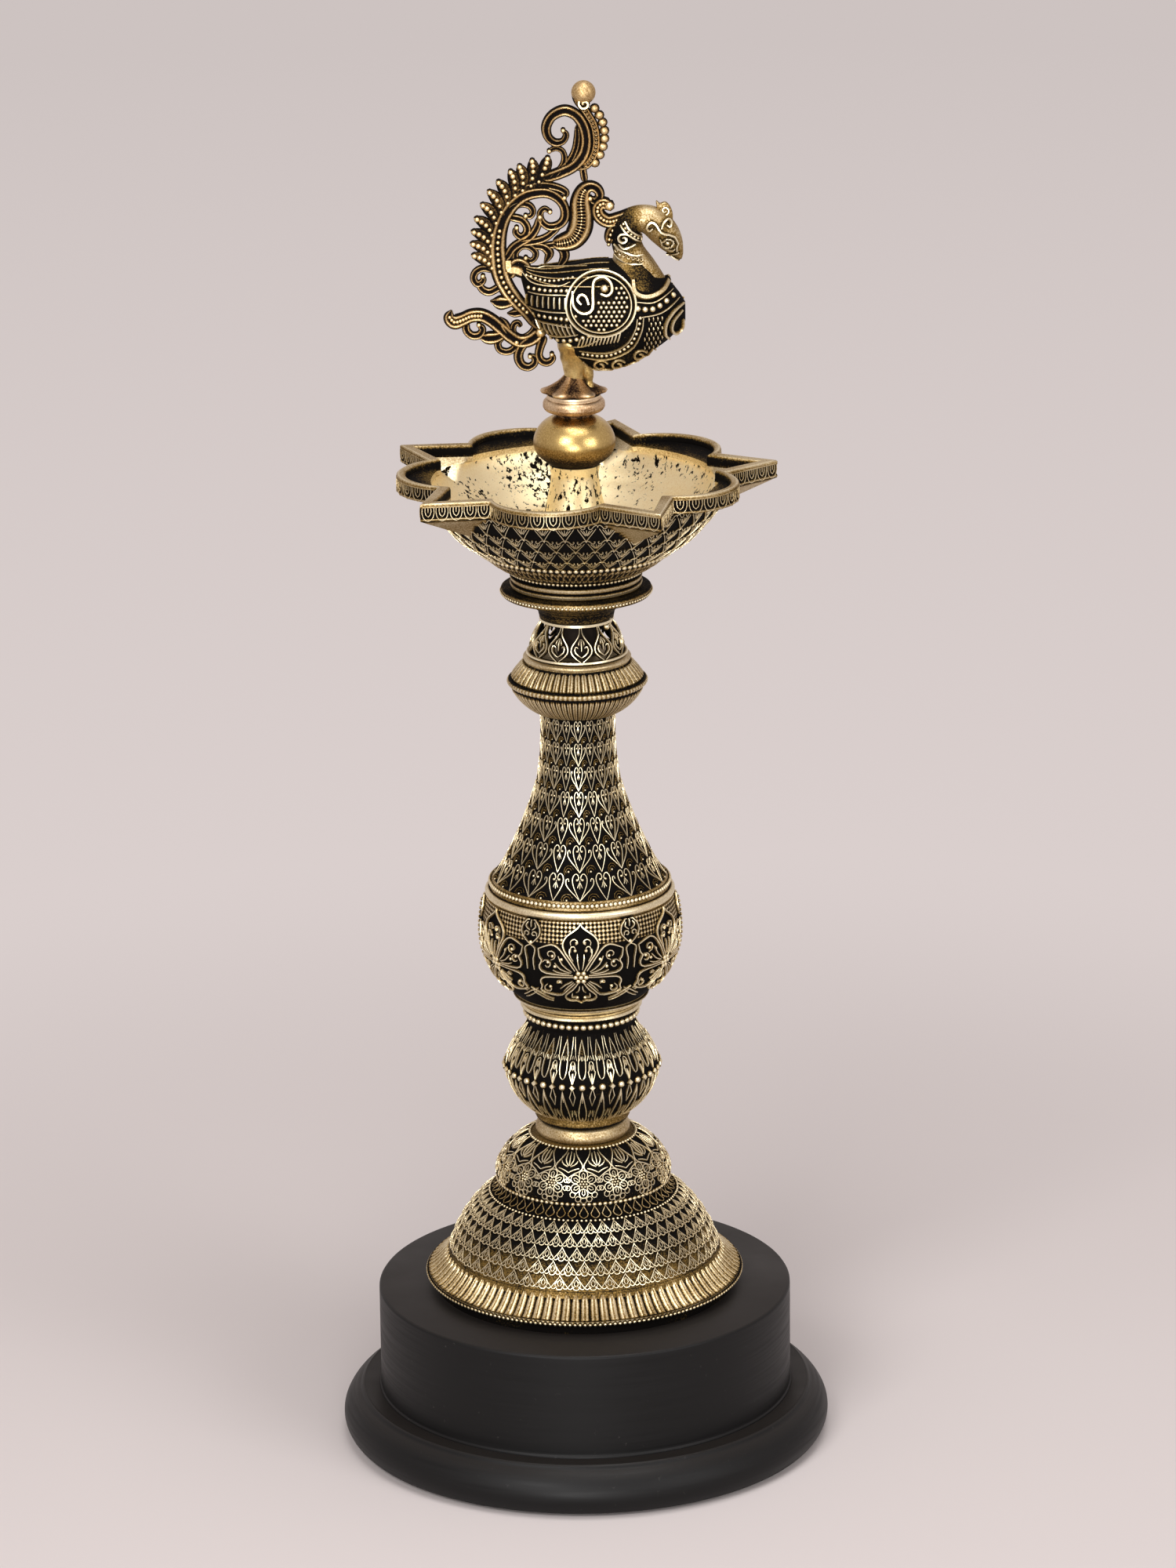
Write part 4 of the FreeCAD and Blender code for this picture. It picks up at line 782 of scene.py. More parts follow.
onion = mirrored([smooth([(0, 10.6), (-1.7, 12.2), (-3.3, 14.4), (-3.0, 16.8), (-1.5, 18.8),
                          (-0.7, 20.6)], 12),
                  curl(-1.3, 14.2, 1.1, 0.5, 0.6, -0.3, 7),
                  smooth([(-0.4, 15.4), (-1.8, 16.6), (-1.2, 18.0)], 5),
                  smooth([(0, 10.6), (-1.6, 9.8), (-1.8, 8.4), (-1.2, 5.6), (-1.3, 2.0)], 8),
                  smooth([(-5.6, -9.9), (-3.6, -8.4), (-1.2, -6.6), (1.4, -5.4)], 8),
                  smooth([(-5.2, -11.0), (-3.0, -9.6), (-0.6, -7.8), (1.0, -6.4)], 8),
                  curl(-3.2, -6.6, 0.9, 0.4, 0.0, 0.9, 6)])
onion.append(np.array([(0, 16.4), (0, 18.0), (0, 19.6)]))
parts = [revolve(place, net_columns * 5, np.concatenate([
    np.linspace(0, heart_level + 10 * mm, 40),
    np.arange(heart_level + 10.2 * mm, place.length, net_pitch / 5), [place.length]]), net)]
for lines, first, width, height in (
        (ogee_petal + side_petals + heart_petal, 0, 0.9 * mm, 1.0 * mm),
        (scrolls, 0, 0.64 * mm, 0.9 * mm), (onion, half_step, 0.72 * mm, 0.9 * mm)):
    parts += pattern(place, [line * motif_size for line in lines], medallion_count, heart_level, None,
                     width, height, first_medallion + first, 0.7)
for spots, radius in ((scroll_beads, 0.68 * mm), (middle_beads, 0.95 * mm)):
    for x, y in np.concatenate(spots) * motif_size:
        parts.append(bead_ring(place, medallion_count, heart_level + y, radius,
                               first_medallion + x / place.radius(heart_level + y), 8))
parts.append(bead_ring(place, medallion_count, heart_level + 10.6 * mm, 0.8 * mm,
                       first_medallion + half_step))
make_piece("vase_bulb_casting", "vase_bulb", parts, antique_brass)


# Side straps: two narrow brass strips with a row of beads, laid over the seams of the bulb.
strap_turns = np.array([0, np.pi])[:, None]
strap_height = 0.6 * mm
place = node_surface(bulb_shares, "vase_bulb", 0.5 * mm)
levels = np.linspace(0.3 * mm, place.length - 0.3 * mm, 24)
bead_levels = np.arange(1 * mm, place.length - 0.5 * mm, 1.45 * mm)
on_strap = lifted(place, lambda turn, level: [0 * turn + strap_height])
parts = [ridges(place, np.broadcast_arrays(strap_turns, levels), 3.2 * mm, strap_height, 1, 0.3),
         studs(on_strap, np.broadcast_arrays(strap_turns, bead_levels), 0.66 * mm)]
make_piece("beaded_straps", "side_straps", parts, antique_brass)


# Vase belt: brass double ring over the joint of bulb and neck: a plain half-round ring below, and
# a row of 118 beads above it, right under the neck's hearts, with a dark groove between them.
belt_shares = ((0.93, 0), (0.95, 0.06, 0.9), (0.95, 0.5), (0.93, 0.53), (0.93, 0.6),
               (0.925, 0.64, 0.3), (0.91, 0.96), (0.9, 1))


def belt_wear(turn, level):
    """Bright ring with a dark edge below, dark groove, and a brown ground behind the beads."""
    share = level / place.length
    groove = np.exp(-((share - 0.56) / 0.04) ** 2) + np.exp(-(share / 0.04) ** 2)
    return 0 * turn, np.where(share < 0.56, 0.92, 0.5) - 0.8 * groove


place = node_surface(belt_shares, "vase_belt")
parts = [revolve(place, 160, 44, belt_wear), bead_ring(place, 118, place.level_at(0.8), 0.85 * mm)]
make_piece("vase_belt_rings", "vase_belt", parts, antique_brass)


# Vase neck: cast brass, tapering, covered in seven rows of hearts that grow downwards, each over
# the next one's tip and with a tulip in it. Every second one of the twenty columns has scrolled
# arms as well, and faint spirals round a bead fill the gaps.
neck_shares = ((1.04, 0), (0.98, 0.035, -0.07), (0.86, 0.14, -0.05), (0.5, 0.59, -0.035),
               (0.443, 0.85), (0.443, 1))
heart_columns = 20
heart_rows = 7
row_growth = 0.96
low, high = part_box("vase_neck")
place = turned_surface(outline(neck_shares, high[0], high[2] - low[2], low[2]) - (0.4 * mm, 0))
heart = mirrored([smooth([(0, 0.0), (-0.1, 0.2), (-0.22, 0.44), (-0.3, 0.66), (-0.3, 0.84),
                          (-0.2, 0.96), (-0.09, 0.94), (-0.04, 0.82), (-0.1, 0.73)], 14)])
arms = mirrored([smooth([(0, 0.0), (-0.18, 0.2), (-0.42, 0.42), (-0.57, 0.6), (-0.58, 0.76),
                         (-0.49, 0.8), (-0.46, 0.7)], 11)])
tulip = mirrored([np.array([(-0.02, 0.66), (-0.06, 0.57), (-0.1, 0.48)])])
tulip.append(np.array([(0, 0.74), (0, 0.6), (0, 0.44)]))
spiral = [curl(0.5, 0.04, size, size * 0.8, 0.05, 0.6, 6) for size in (0.14, 0.24)]
parts = [revolve(place, 128, 60)]
sizes = row_growth ** np.arange(heart_rows)
row_levels = np.concatenate([[0], np.cumsum(sizes)]) / sizes.sum() * place.length
column_step = 2 * np.pi / heart_columns
for row in range(heart_rows):
    low_level, high_level = row_levels[row], row_levels[row + 1]
    wide = (0.48 - 0.02 * row) * mm
    for lines, count, width, crown in ((heart, heart_columns, wide, 1),
                                       (tulip, heart_columns, wide * 0.85, 1),
                                       (arms, heart_columns // 2, wide * 1.1, 1),
                                       (spiral, heart_columns, 0.32 * mm, 0.42)):
        parts += pattern(place, [line * (count / heart_columns, 1) for line in lines], count,
                         low_level, high_level, width, 0.5 * mm, first_medallion, 0.6, crown)
    for x, y, radius in ((0.5, 0.04, 0.5), (-0.12, 0.76, 0.55), (0.12, 0.76, 0.55)):
        parts.append(bead_ring(place, heart_columns, low_level + y * (high_level - low_level),
                               radius * (0.9 - 0.05 * row) * mm, first_medallion + x * column_step, 6))
make_piece("vase_neck_casting", "vase_neck", parts, antique_brass)


# Fluted collar: cast brass cup on the neck, 72 narrow flutes under a roped rib, 54 rounded
# gadroons over it, and a bright ring at the top.
collar_shares = ((0.55, 0, 0.2), (0.96, 0.48), (0.975, 0.51, 0.7), (0.975, 0.58), (0.95, 0.62, 0.06),
                 (0.76, 0.9), (0.74, 0.91), (0.75, 0.92, 0.7), (0.735, 1))
place = node_surface(collar_shares, "fluted_collar")
rib_level, ring_level = place.level_at(0.545), place.level_at(0.91)
under = fluting(72, 0.6 * mm, place.level_at(0.46), 0.5 * mm, 0.05)
over = fluting(54, place.level_at(0.62), ring_level - 0.4 * mm, 0.8 * mm, 0.12)


def collar_wear(turn, level):
    """The two sets of flutes, the rib's rope and the plain ring."""
    lift_under, worn_under = under(turn, level)
    lift_over, worn_over = over(turn, level)
    rib = np.abs(level - rib_level) < 0.9 * mm
    rope = 0.5 + 0.5 * np.cos(turn * 90)
    lift = np.where(level < rib_level, lift_under, lift_over)
    worn = np.where(level < rib_level, worn_under * 1.15 - 0.16, worn_over)
    lift = np.where(rib, 0.2 * rope * mm, lift)
    return lift, np.where(rib, 0.45 + 0.45 * rope, np.where(level > ring_level, 0.7, worn))


make_piece("fluted_collar_casting", "fluted_collar", [revolve(place, 648, 64, collar_wear)],
           antique_brass)


# Openwork basket: a cup of brass wire scrolls, twelve onion-shaped loops with long points and
# curled ends inside, soldered between a lower and an upper ring round the coupler, which is
# coloured brown black as painted shade.
basket_shares = ((1, 0), (0.92, 0.35, 0.05), (0.72, 0.88), (0.72, 1))
onion_count = 12
place = node_surface(basket_shares, "openwork_basket", 0.8 * mm)
turns = np.linspace(0, 2 * np.pi, 97)[None]
parts = [ridges(place, (turns, 0 * turns + level), width, 1.1 * mm, 1)
         for level, width in ((0.7 * mm, 1.4 * mm), (place.length - 0.9 * mm, 1.9 * mm))]
onion_wires = mirrored([
    smooth([(-0.05, 0.98), (-0.07, 0.76), (-0.2, 0.6), (-0.4, 0.42), (-0.42, 0.26), (-0.24, 0.12),
            (0, 0.0)], 14),
    smooth([(0, 0.14), (-0.14, 0.2), (-0.28, 0.3), (-0.24, 0.42), (-0.14, 0.38)], 8),
    smooth([(-0.03, 0.62), (-0.12, 0.5), (-0.1, 0.44)], 4)])
onion_wires.append(np.array([(0, 0.3), (0, 0.46), (0, 0.62)]))
parts += pattern(place, onion_wires, onion_count, 0.9 * mm, place.length - 0.5 * mm, 0.7 * mm,
                 0.9 * mm, first_medallion + 0.1)
solder_turns = first_medallion + np.array([0.95, 1.2])
parts.append(studs(place, (solder_turns, np.array([0.82, 0.93]) * place.length), 1.25 * mm, sides=10))
make_piece("openwork_basket_wires", "openwork_basket", parts, antique_brass)


# Drip flange: smooth turned brass disc with a fine beaded edge, on a short neck.
drip_shares = ((0.49, 0), (0.51, 0.22, -0.15), (0.975, 0.76), (0.985, 0.8), (0.985, 0.97),
               (0.94, 1))


def satin(turn, level):
    """Brown slope with faint turning rings, and a gold band along the edge: a painted highlight."""
    edge = np.exp(-((level - place.level_at(0.88)) / (0.9 * mm)) ** 2)
    return 0 * turn, 0.2 + 0.05 * np.sin(level / (0.35 * mm)) + 0.4 * edge


place = node_surface(drip_shares, "drip_flange")
parts = [revolve(place, 128, 50, satin), bead_ring(place, 118, place.level_at(0.86), 0.5 * mm)]
make_piece("drip_flange_disc", "drip_flange", parts, antique_brass, "drip_flange")


# Bowl foot: cast brass, two plain rings, a bead row, a band of fine scrollwork and a second bead
# row under the bowl.
bowl_foot_shares = ((0.63, 0), (0.655, 0.04), (0.66, 0.08, 0.6), (0.655, 0.13), (0.63, 0.16),
                    (0.655, 0.19), (0.66, 0.24, 0.6), (0.655, 0.29), (0.63, 0.32),
                    (0.675, 0.44, 0.1), (0.98, 0.95), (1, 1))
place = node_surface(bowl_foot_shares, "bowl_foot")
band_low, band_high = place.level_at(0.5), place.level_at(0.88)


def foot_band(turn, level):
    """Plain rings below, and above them two waves that cross as a close knotted scroll."""
    up = np.clip((level - band_low) / (band_high - band_low), 0, 1)
    wave = 0.5 * np.sin(turn * 44)
    line = np.exp(-((up * 2 - 1 - wave * 1.5) / 0.2) ** 2)
    other = np.exp(-((up * 2 - 1 + wave * 1.5) / 0.2) ** 2)
    knot = np.clip(line + other + 0.35 * np.cos(turn * 132) * np.sin(up * 12.6), 0, 1)
    inside = (up > 0) & (up < 1)
    rings = sum(np.exp(-((level - place.level_at(share)) / (0.75 * mm)) ** 4)
                for share in (0.09, 0.24))
    return np.where(inside, 0.35 * knot * mm, 0), np.where(inside, 0.8 * knot, 0.72 * rings)


parts = [revolve(place, 352, 70, foot_band), bead_ring(place, 92, place.level_at(0.42), 0.66 * mm),
         bead_ring(place, 100, place.level_at(0.95), 0.95 * mm)]
make_piece("bowl_foot_casting", "bowl_foot", parts, antique_brass, "bowl")


# Oil bowl: cast brass. Its wall carries four rows of fans, its rim goes out into five keeled
# pouring spouts and five round lobes, with a band of tongues all round and a rounded top edge.
bowl_shares = ((0.67, 0, 0.12), (0.875, 0.46, 0.15), (1, 1))
bowl_radius, bowl_wall, bowl_floor, rim_height = 47 * mm, 2.6 * mm, 3 * mm, 5.5 * mm
outer_rim = (63 * mm, 47 * mm, math.radians(15), 55 * mm)
inner_rim = (57.4 * mm, 43.36 * mm, math.radians(12.9), 52.2 * mm)
outer_root, inner_root = (40.5 * mm, 9.5 * mm), (37.5 * mm, 8.3 * mm)
spout_count = 5
spout_step = 2 * np.pi / spout_count
spout_first = math.radians(6)
rim_ledge = 1.8 * mm
low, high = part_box("oil_bowl")
bowl_base, rim_top = low[2], high[2]
rim_base = rim_top - rim_height


def rim_radius(angle, rim):
    """Rim's distance from the axis at an angle from a spout's middle, for a rim given as tip,
    notch, half angle and lobe. Spout: the straight line from tip to notch, r = d / cos(angle -
    its own heading). Lobe: a circle through both notches and the lobe's top, r = c cos b +
    sqrt(q^2 - c^2 sin^2 b) with b from the lobe's middle."""
    tip, notch, half_angle, lobe = rim
    side = np.abs(angle)
    rise, run = notch * math.sin(half_angle), tip - notch * math.cos(half_angle)
    spout = tip * rise / (rise * np.cos(side) + run * np.sin(side))
    middle = spout_step / 2
    x, y = notch * math.cos(middle - half_angle), notch * math.sin(middle - half_angle)
    centre = (lobe ** 2 - x ** 2 - y ** 2) / (2 * (lobe - x))
    b = middle - np.maximum(side, half_angle)
    arc = centre * np.cos(b) + np.sqrt((lobe - centre) ** 2 - (centre * np.sin(b)) ** 2)
    return np.where(side < half_angle, spout, arc)


def keel_radius(angle, drop_below, rim, root):
    """A spout's flat underside: the plane through tip, notch and root, as the distance from the
    axis at an angle and a drop below the rim, and 0 beside the spout."""
    tip, notch, half_angle = rim[:3]
    a = np.array((tip, 0, 0))
    n = np.cross(np.array((notch * math.cos(half_angle), notch * math.sin(half_angle), 0)) - a,
                 np.array((root[0], 0, -root[1])) - a)
    side = np.abs(angle)
    return np.where(side < half_angle, (n @ a + n[2] * drop_below)
                    / (n[0] * np.cos(side) + n[1] * np.sin(side)), 0)


half = spout_step / 2
notch = outer_rim[2]
angle = np.concatenate([np.linspace(-half, -notch, 17), np.linspace(-notch, notch, 25)[1:],
                        np.linspace(notch, half, 17)[1:-1]])
inner_angle = np.sign(angle) * np.interp(np.abs(angle), (0, notch, half), (0, inner_rim[2], half))
wall = outline(bowl_shares, bowl_radius, rim_base - bowl_base, bowl_base)
cavity = outline(bowl_shares, bowl_radius - bowl_wall, rim_base - bowl_base - bowl_floor,
                 bowl_base + bowl_floor)
rim_out, rim_in = rim_radius(angle, outer_rim), rim_radius(inner_angle, inner_rim)
ledge = rim_base + rim_ledge
# Each row is angles, distances from the axis, a height and how worn it is: up the wall, up the
# rim's face and over its edge, down inside it to the ledge, down the cavity and over the floor
rows = [(angle, np.maximum(r, keel_radius(angle, rim_base - z, outer_rim, outer_root)), z, 0.02)
        for r, z in wall[::2]]
rows += [(angle, rim_out - inset * mm, rim_base + up * rim_height, worn) for up, inset, worn in (
    (0.0, 0.2, 0.3), (0.05, 0.0, 0.5), (0.14, 0.05, 0.2), (0.2, 0.3, 0.0), (0.7, 0.3, 0.0),
    (0.76, 0.0, 0.4), (0.92, 0.0, 0.55), (0.985, 0.5, 0.9), (1.0, 1.1, 0.62))]
# Down the rim's inside the worn value falls to 0: patina on its inner face, and painted shade under the
# rim's edge.
rows += [(inner_angle, rim_in + inset * mm, rim_base + up * rim_height, worn) for up, inset, worn in (
    (0.99, 0.8, 0.6), (0.93, 0.25, 0.5), (0.8, 0.0, 0.1), (0.55, 0.0, 0.0))]
for z, worn in ((ledge, 0.3), (ledge - 0.01 * mm, 0.7), (rim_base + 0.4 * mm, 0.75)):
    shelf = np.maximum(bowl_radius - bowl_wall, keel_radius(inner_angle, ledge - z, inner_rim,
                                                            inner_root))
    rows.append((inner_angle, np.minimum(shelf, rim_in), z, worn))
# The cavity's top 2 mm are worn 0.75, rising to 1 further down: painted shade under the rim.
for r, z in cavity[::-2]:
    lift = np.clip((rim_base - z) / (2 * mm), 0, 1)
    rows.append((inner_angle, np.maximum(r, keel_radius(inner_angle, ledge - z, inner_rim,
                                                        inner_root)), z, 0.75 + 0.25 * lift))
rows += [(inner_angle, angle * 0 + r, bowl_base + bowl_floor, 0.9)
         for r in np.linspace(cavity[0, 0], 3 * mm, 12)[1:]]
spouts = spout_first + np.arange(spout_count)[:, None] * spout_step
rings = np.stack([np.stack([(r * np.cos(spouts + a)).ravel(), (r * np.sin(spouts + a)).ravel(),
                            np.full(spout_count * len(angle), z)], -1) for a, r, z, _ in rows])
worn = np.repeat([row[3] for row in rows], spout_count * len(angle)).reshape(rings.shape[:2])
flat_keel = np.array([np.tile((a == angle) & (r > np.interp(z, wall[:, 1], wall[:, 0])
                                              + 0.05 * mm) & (z < rim_base), spout_count)
                      for a, r, z, _ in rows])
parts = [shell(rings, np.where(flat_keel, 0.6, worn))]

place = turned_surface(wall)
fan_columns, fan_rows = 44, 4
fan = mirrored([smooth([(0, 0.0), (-0.17, 0.36), (-0.42, 0.82)], 5),
                smooth([(-0.5, 0.9), (-0.47, 1.02), (-0.38, 1.02), (-0.3, 0.94), (-0.2, 0.8),
                        (-0.1, 0.84), (-0.07, 0.94), (-0.13, 0.97)], 12),
                smooth([(-0.04, 0.4), (-0.14, 0.56), (-0.27, 0.76)], 5),
                smooth([(-0.02, 0.46), (-0.08, 0.58), (-0.14, 0.72)], 4)])
fan.append(np.array([(0, 0.42), (0, 0.58), (0, 0.76)]))
fan_step = (place.length - 1.4 * mm) / fan_rows
for row in range(fan_rows):
    low_level = 0.8 * mm + row * fan_step
    parts += pattern(place, fan, fan_columns, low_level, low_level + fan_step, 0.38 * mm, 0.5 * mm,
                     row % 2 * np.pi / fan_columns, 0.9)


def rim_face(along, up):
    """Place on the rim's upright face: along in shares of one spout step from a spout's tip, one
    step after the other, and a height over the rim's lower edge. The normal is the way along the
    face, found from a point a little ahead, crossed with the vertical."""
    ends = []
    for turn in (along * spout_step, along * spout_step + 0.001):
        r = rim_radius((turn + half) % spout_step - half, outer_rim) - 0.3 * mm
        ends.append(np.stack([r * np.cos(turn + spout_first), r * np.sin(turn + spout_first),
                              rim_base + up + 0 * turn], -1))
    way = ends[1] - ends[0]
    way /= np.linalg.norm(way, axis=-1, keepdims=True)
    return ends[0], np.cross(way, (0, 0, 1.0))


tongue = [smooth([(-0.42, 0.76), (-0.42, 0.4), (-0.26, 0.12), (0, 0.02), (0.26, 0.12),
                  (0.42, 0.4), (0.42, 0.76)], 9),
          smooth([(-0.2, 0.76), (-0.2, 0.46), (0, 0.26), (0.2, 0.46), (0.2, 0.76)], 7),
          np.array([(0, 0.76), (0, 0.62), (0, 0.5)])]
notch_share = notch / spout_step
fine = np.linspace(0, 1, 2000)
edge = rim_face(fine, 0 * fine)[0]
lengths = np.concatenate([[0], np.cumsum(np.linalg.norm(np.diff(edge, axis=0), axis=1))])
spots = []
for start, end, count in ((0, notch_share, 5), (notch_share, 1 - notch_share, 9),
                          (1 - notch_share, 1, 5)):
    a, b = np.interp((start, end), fine, lengths)
    spots += [(a + (b - a) * (k + 0.5) / count, (b - a) / count) for k in range(count)]
spots = np.array(spots)
for line in tongue:
    path = spots[:, :1] + spots[:, 1:] * line[None, :, 0]
    turns = np.concatenate([np.interp(path, lengths, fine) + k for k in range(spout_count)])
    heights = np.broadcast_to(line[None, :, 1] * rim_height, turns.shape)
    parts.append(ridges(rim_face, (turns, heights), 0.52 * mm, 0.5 * mm, 0.9, 0.72))
for up, width in ((0.1, 0.6 * mm), (0.8, 0.7 * mm)):
    for start, end in ((0.004, notch_share), (notch_share, 1 - notch_share),
                       (1 - notch_share, 0.996)):
        path = np.linspace(start, end, 24)[None] + np.arange(spout_count)[:, None]
        parts.append(ridges(rim_face, (path, 0 * path + up * rim_height), width, 0.45 * mm, 0.9,
                            0.6))
bowl = make_piece("oil_bowl_casting", "oil_bowl", parts, antique_brass, "bowl")
# Bright pitted brass inside the bowl and on its column: buffed to pale gold, with black pits of
# the patina left in casting flaws 0.5 to 2 mm wide, thick in some places and rare in others
pitted_brass = cast_brass("bright_pitted_brass", "#100C0A", "#EBCD8C", "#FFEFC4", 0.42)
tree = pitted_brass.node_tree
shader = tree.nodes["Principled BSDF"]
spot = add_node(tree, "TexCoord", {}, "Object")
stretched = add_node(tree, "Mapping", {0: spot, 3: (1, 1, 0.6)})
flaw = add_node(tree, "TexNoise", {"Vector": stretched, "Scale": 760, "Detail": 5, "Roughness": 0.6})
patch = add_node(tree, "TexNoise", {"Vector": spot, "Scale": 60, "Detail": 2})
more = add_node(tree, "MapRange", {0: patch, 1: 0.35, 2: 0.65, 3: -0.06, 4: 0.1})
flaw = add_node(tree, "Math", {0: flaw, 1: more}, operation="ADD")
pit = add_node(tree, "MapRange", {0: flaw, 1: 0.59, 2: 0.63})
before = shader.inputs["Base Color"].links[0].from_socket
tone = add_node(tree, "Mix", {0: pit, 6: before, 7: linear("#14100D")}, 2, data_type="RGBA")
add_node(tree, shader, {"Base Color": tone})
bowl.data.materials.append(pitted_brass)
centres = np.empty(len(bowl.data.polygons) * 3, np.float32)
bowl.data.polygons.foreach_get("center", centres)
centres = centres.reshape(-1, 3)
r = np.hypot(centres[:, 0], centres[:, 1])
inside = ((centres[:, 2] > bowl_base + bowl_floor - 0.5 * mm) & (centres[:, 2] < rim_base)
          & (r < np.interp(centres[:, 2], wall[:, 1], wall[:, 0]) - 1.2 * mm))
bowl.data.polygons.foreach_set("material_index", inside.astype(np.int32))


# Bowl column: cast brass, flared down to the bowl's floor, bright and pitted.
column_shares = ((1, 0, -0.1), (0.7, 0.42, -0.05), (0.56, 0.86), (0.6, 1))


def bright(turn, level):
    """No relief, fully buffed."""
    return 0 * turn, 0 * turn + 0.95


place = node_surface(column_shares, "bowl_column")
make_piece("bowl_column_casting", "bowl_column", [revolve(place, 96, 40, bright)], pitted_brass,
           "bowl")


# Ball: turned brass, flattened at both ends, polished, its lower third brown and speckled: a painted
# dark reflection.
ball_shares = ((0.42, 0.02), (0.6, 0.1, 0.1), (0.9, 0.28, 0.14), (1, 0.5, 0.12), (0.9, 0.74, 0.14),
               (0.62, 0.94, 0.1), (0.42, 1))


def ball_polish_and_painted_reflection(turn, level):
    """Polished above, falling to 0.14 over the lower third: a painted dark reflection there."""
    return 0 * turn, np.clip(0.14 + (level / place.length - 0.27) * 2.6, 0.14, 0.92)


place = node_surface(ball_shares, "column_ball")
ball_brass = cast_brass("polished_golden_brass", "#1A120A", "#8A6935", "#DDBF7C", 0.17)
make_piece("polished_ball", "column_ball", [revolve(place, 96, 48, ball_polish_and_painted_reflection)], ball_brass, "bowl")


# Finial ring: plain turned ring with a reddish cast, where the coppery filler runs over it.
finial_ring_shares = ((0.58, 0), (0.58, 0.14), (0.8, 0.2, 0.3), (0.98, 0.36, 0.3), (1, 0.5, 0.4),
                      (0.86, 0.82, 0.2), (0.86, 1))


def finial_wear(turn, level):
    """Bright and pale above, worn falling to a brown foot, mottled at 7 places round the ring."""
    return 0 * turn, 0.2 + 0.75 * level / place.length + 0.08 * np.sin(turn * 7)


copper_brass = cast_brass("coppery_brass", "#1C100B", "#A17A50", "#F6DDB8", 0.3)
place = node_surface(finial_ring_shares, "finial_ring")
make_piece("finial_ring_turned", "finial_ring", [revolve(place, 96, 40, finial_wear)], copper_brass,
           "finial_ring")


# Pedestal: a lotus cup upside down, coppery cast brass: six pointed petals with folds between
# them, out at the foot and drawn in to a narrow top.
pedestal_tip, pedestal_hollow, top_share, fold_depth = 10.4 * mm, 8.3 * mm, 0.27, 0.35 * mm
low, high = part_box("peacock_pedestal")
turn = np.arange(180) * 2 * np.pi / 180
petal = np.abs(np.cos(turn * 3)) ** 1.4
fold = np.exp(-((1 - petal) / 0.35) ** 2)
rings, wear = [], []
for up, share, worn in ((0.0, 0.86, 0.2), (0.04, 0.97, 0.6), (0.13, 1.0, 1.0), (0.2, 0.97, 0.9),
                        (0.3, 0.86, 0.6), (0.42, 0.72, 0.55), (0.56, 0.58, 0.6),
                        (0.7, 0.46, 0.65), (0.85, 0.36, 0.7), (1.0, top_share, 0.7)):
    flare = (share - top_share) / (1 - top_share)
    r = (share * (pedestal_hollow + (pedestal_tip - pedestal_hollow) * petal * flare)
         - fold_depth * (1 - fold) * flare)
    z = low[2] + up * (high[2] - low[2]) + fold_depth * petal * (up < 0.25)
    rings.append(np.stack([r * np.cos(turn), r * np.sin(turn), np.clip(z, low[2], high[2])], -1))
    wear.append(worn * (0.35 + 0.65 * fold))
make_piece("lotus_pedestal", "peacock_pedestal", [shell(np.stack(rings), np.stack(wear))],
           copper_brass, "peacock")


# Legs: one post of brass and solder from the pedestal up to the belly, lumpy and bright, wider
# where it spreads on the body, with the small foot of the second leg in front of it.
bird_length, bird_height, bird_back = 74 * mm, 90.5 * mm, 38.4 * mm
bird_floor = high[2] + 0.1 * mm
post_sections = (
    (52.5, -11.5, 2.6, 2.6), (52, -6, 2.8, 2.8), (52.5, -2, 3.3, 3.2), (53, 3, 4.4, 4.2),
    (52.5, 7, 4.9, 5.7), (50.5, 11, 3.8, 8.7), (50, 14, 1.6, 6))


def on_bird(points):
    """Hundredths of the bird's length and height to metres along X and Z."""
    return np.array(points) / 100 * (bird_length, bird_height) + (-bird_back, bird_floor)


def upright(sections, count=40):
    """Rings of an upright loft in the bird's frame: rows of length and height in hundredths, half
    length and half width in millimetres, each an ellipse, smoothed between the rows."""
    table = smooth(sections, count)
    turn = np.arange(48) * 2 * np.pi / 48
    across, deep = (table[:, k, None] * mm for k in (2, 3))
    middle = on_bird(table[:, :2])
    x = middle[:, :1] + across * np.cos(turn)
    return np.stack([x, deep * np.sin(turn), np.broadcast_to(middle[:, 1:], x.shape)], -1)


rings = upright(post_sections)
lumps = 0.2 * mm * np.sin(rings[..., 0] * 1900) * np.sin(rings[..., 2] * 1500 + 1)
rings[..., 0] += lumps
foot_sections = (
    (58.3, -7, 1, 1), (58.3, -5, 1.5, 1.5), (58.3, -3, 1.1, 1.1), (58, -1, 1.6, 1.6),
    (57.5, 2, 1.9, 1.9), (57, 6, 2.4, 2.4))
second_foot = upright(foot_sections, 24)
second_foot[..., 1] -= 1.6 * mm
solder_brass = cast_brass("solder_filled_brass", "#231A0F", "#9C7C42", "#E9D093", 0.3)
parts = [shell(rings, np.full(rings.shape[:2], 0.85)),
         shell(second_foot, np.full(second_foot.shape[:2], 0.7))]
make_piece("soldered_legs", "peacock_legs", parts, solder_brass, "peacock")


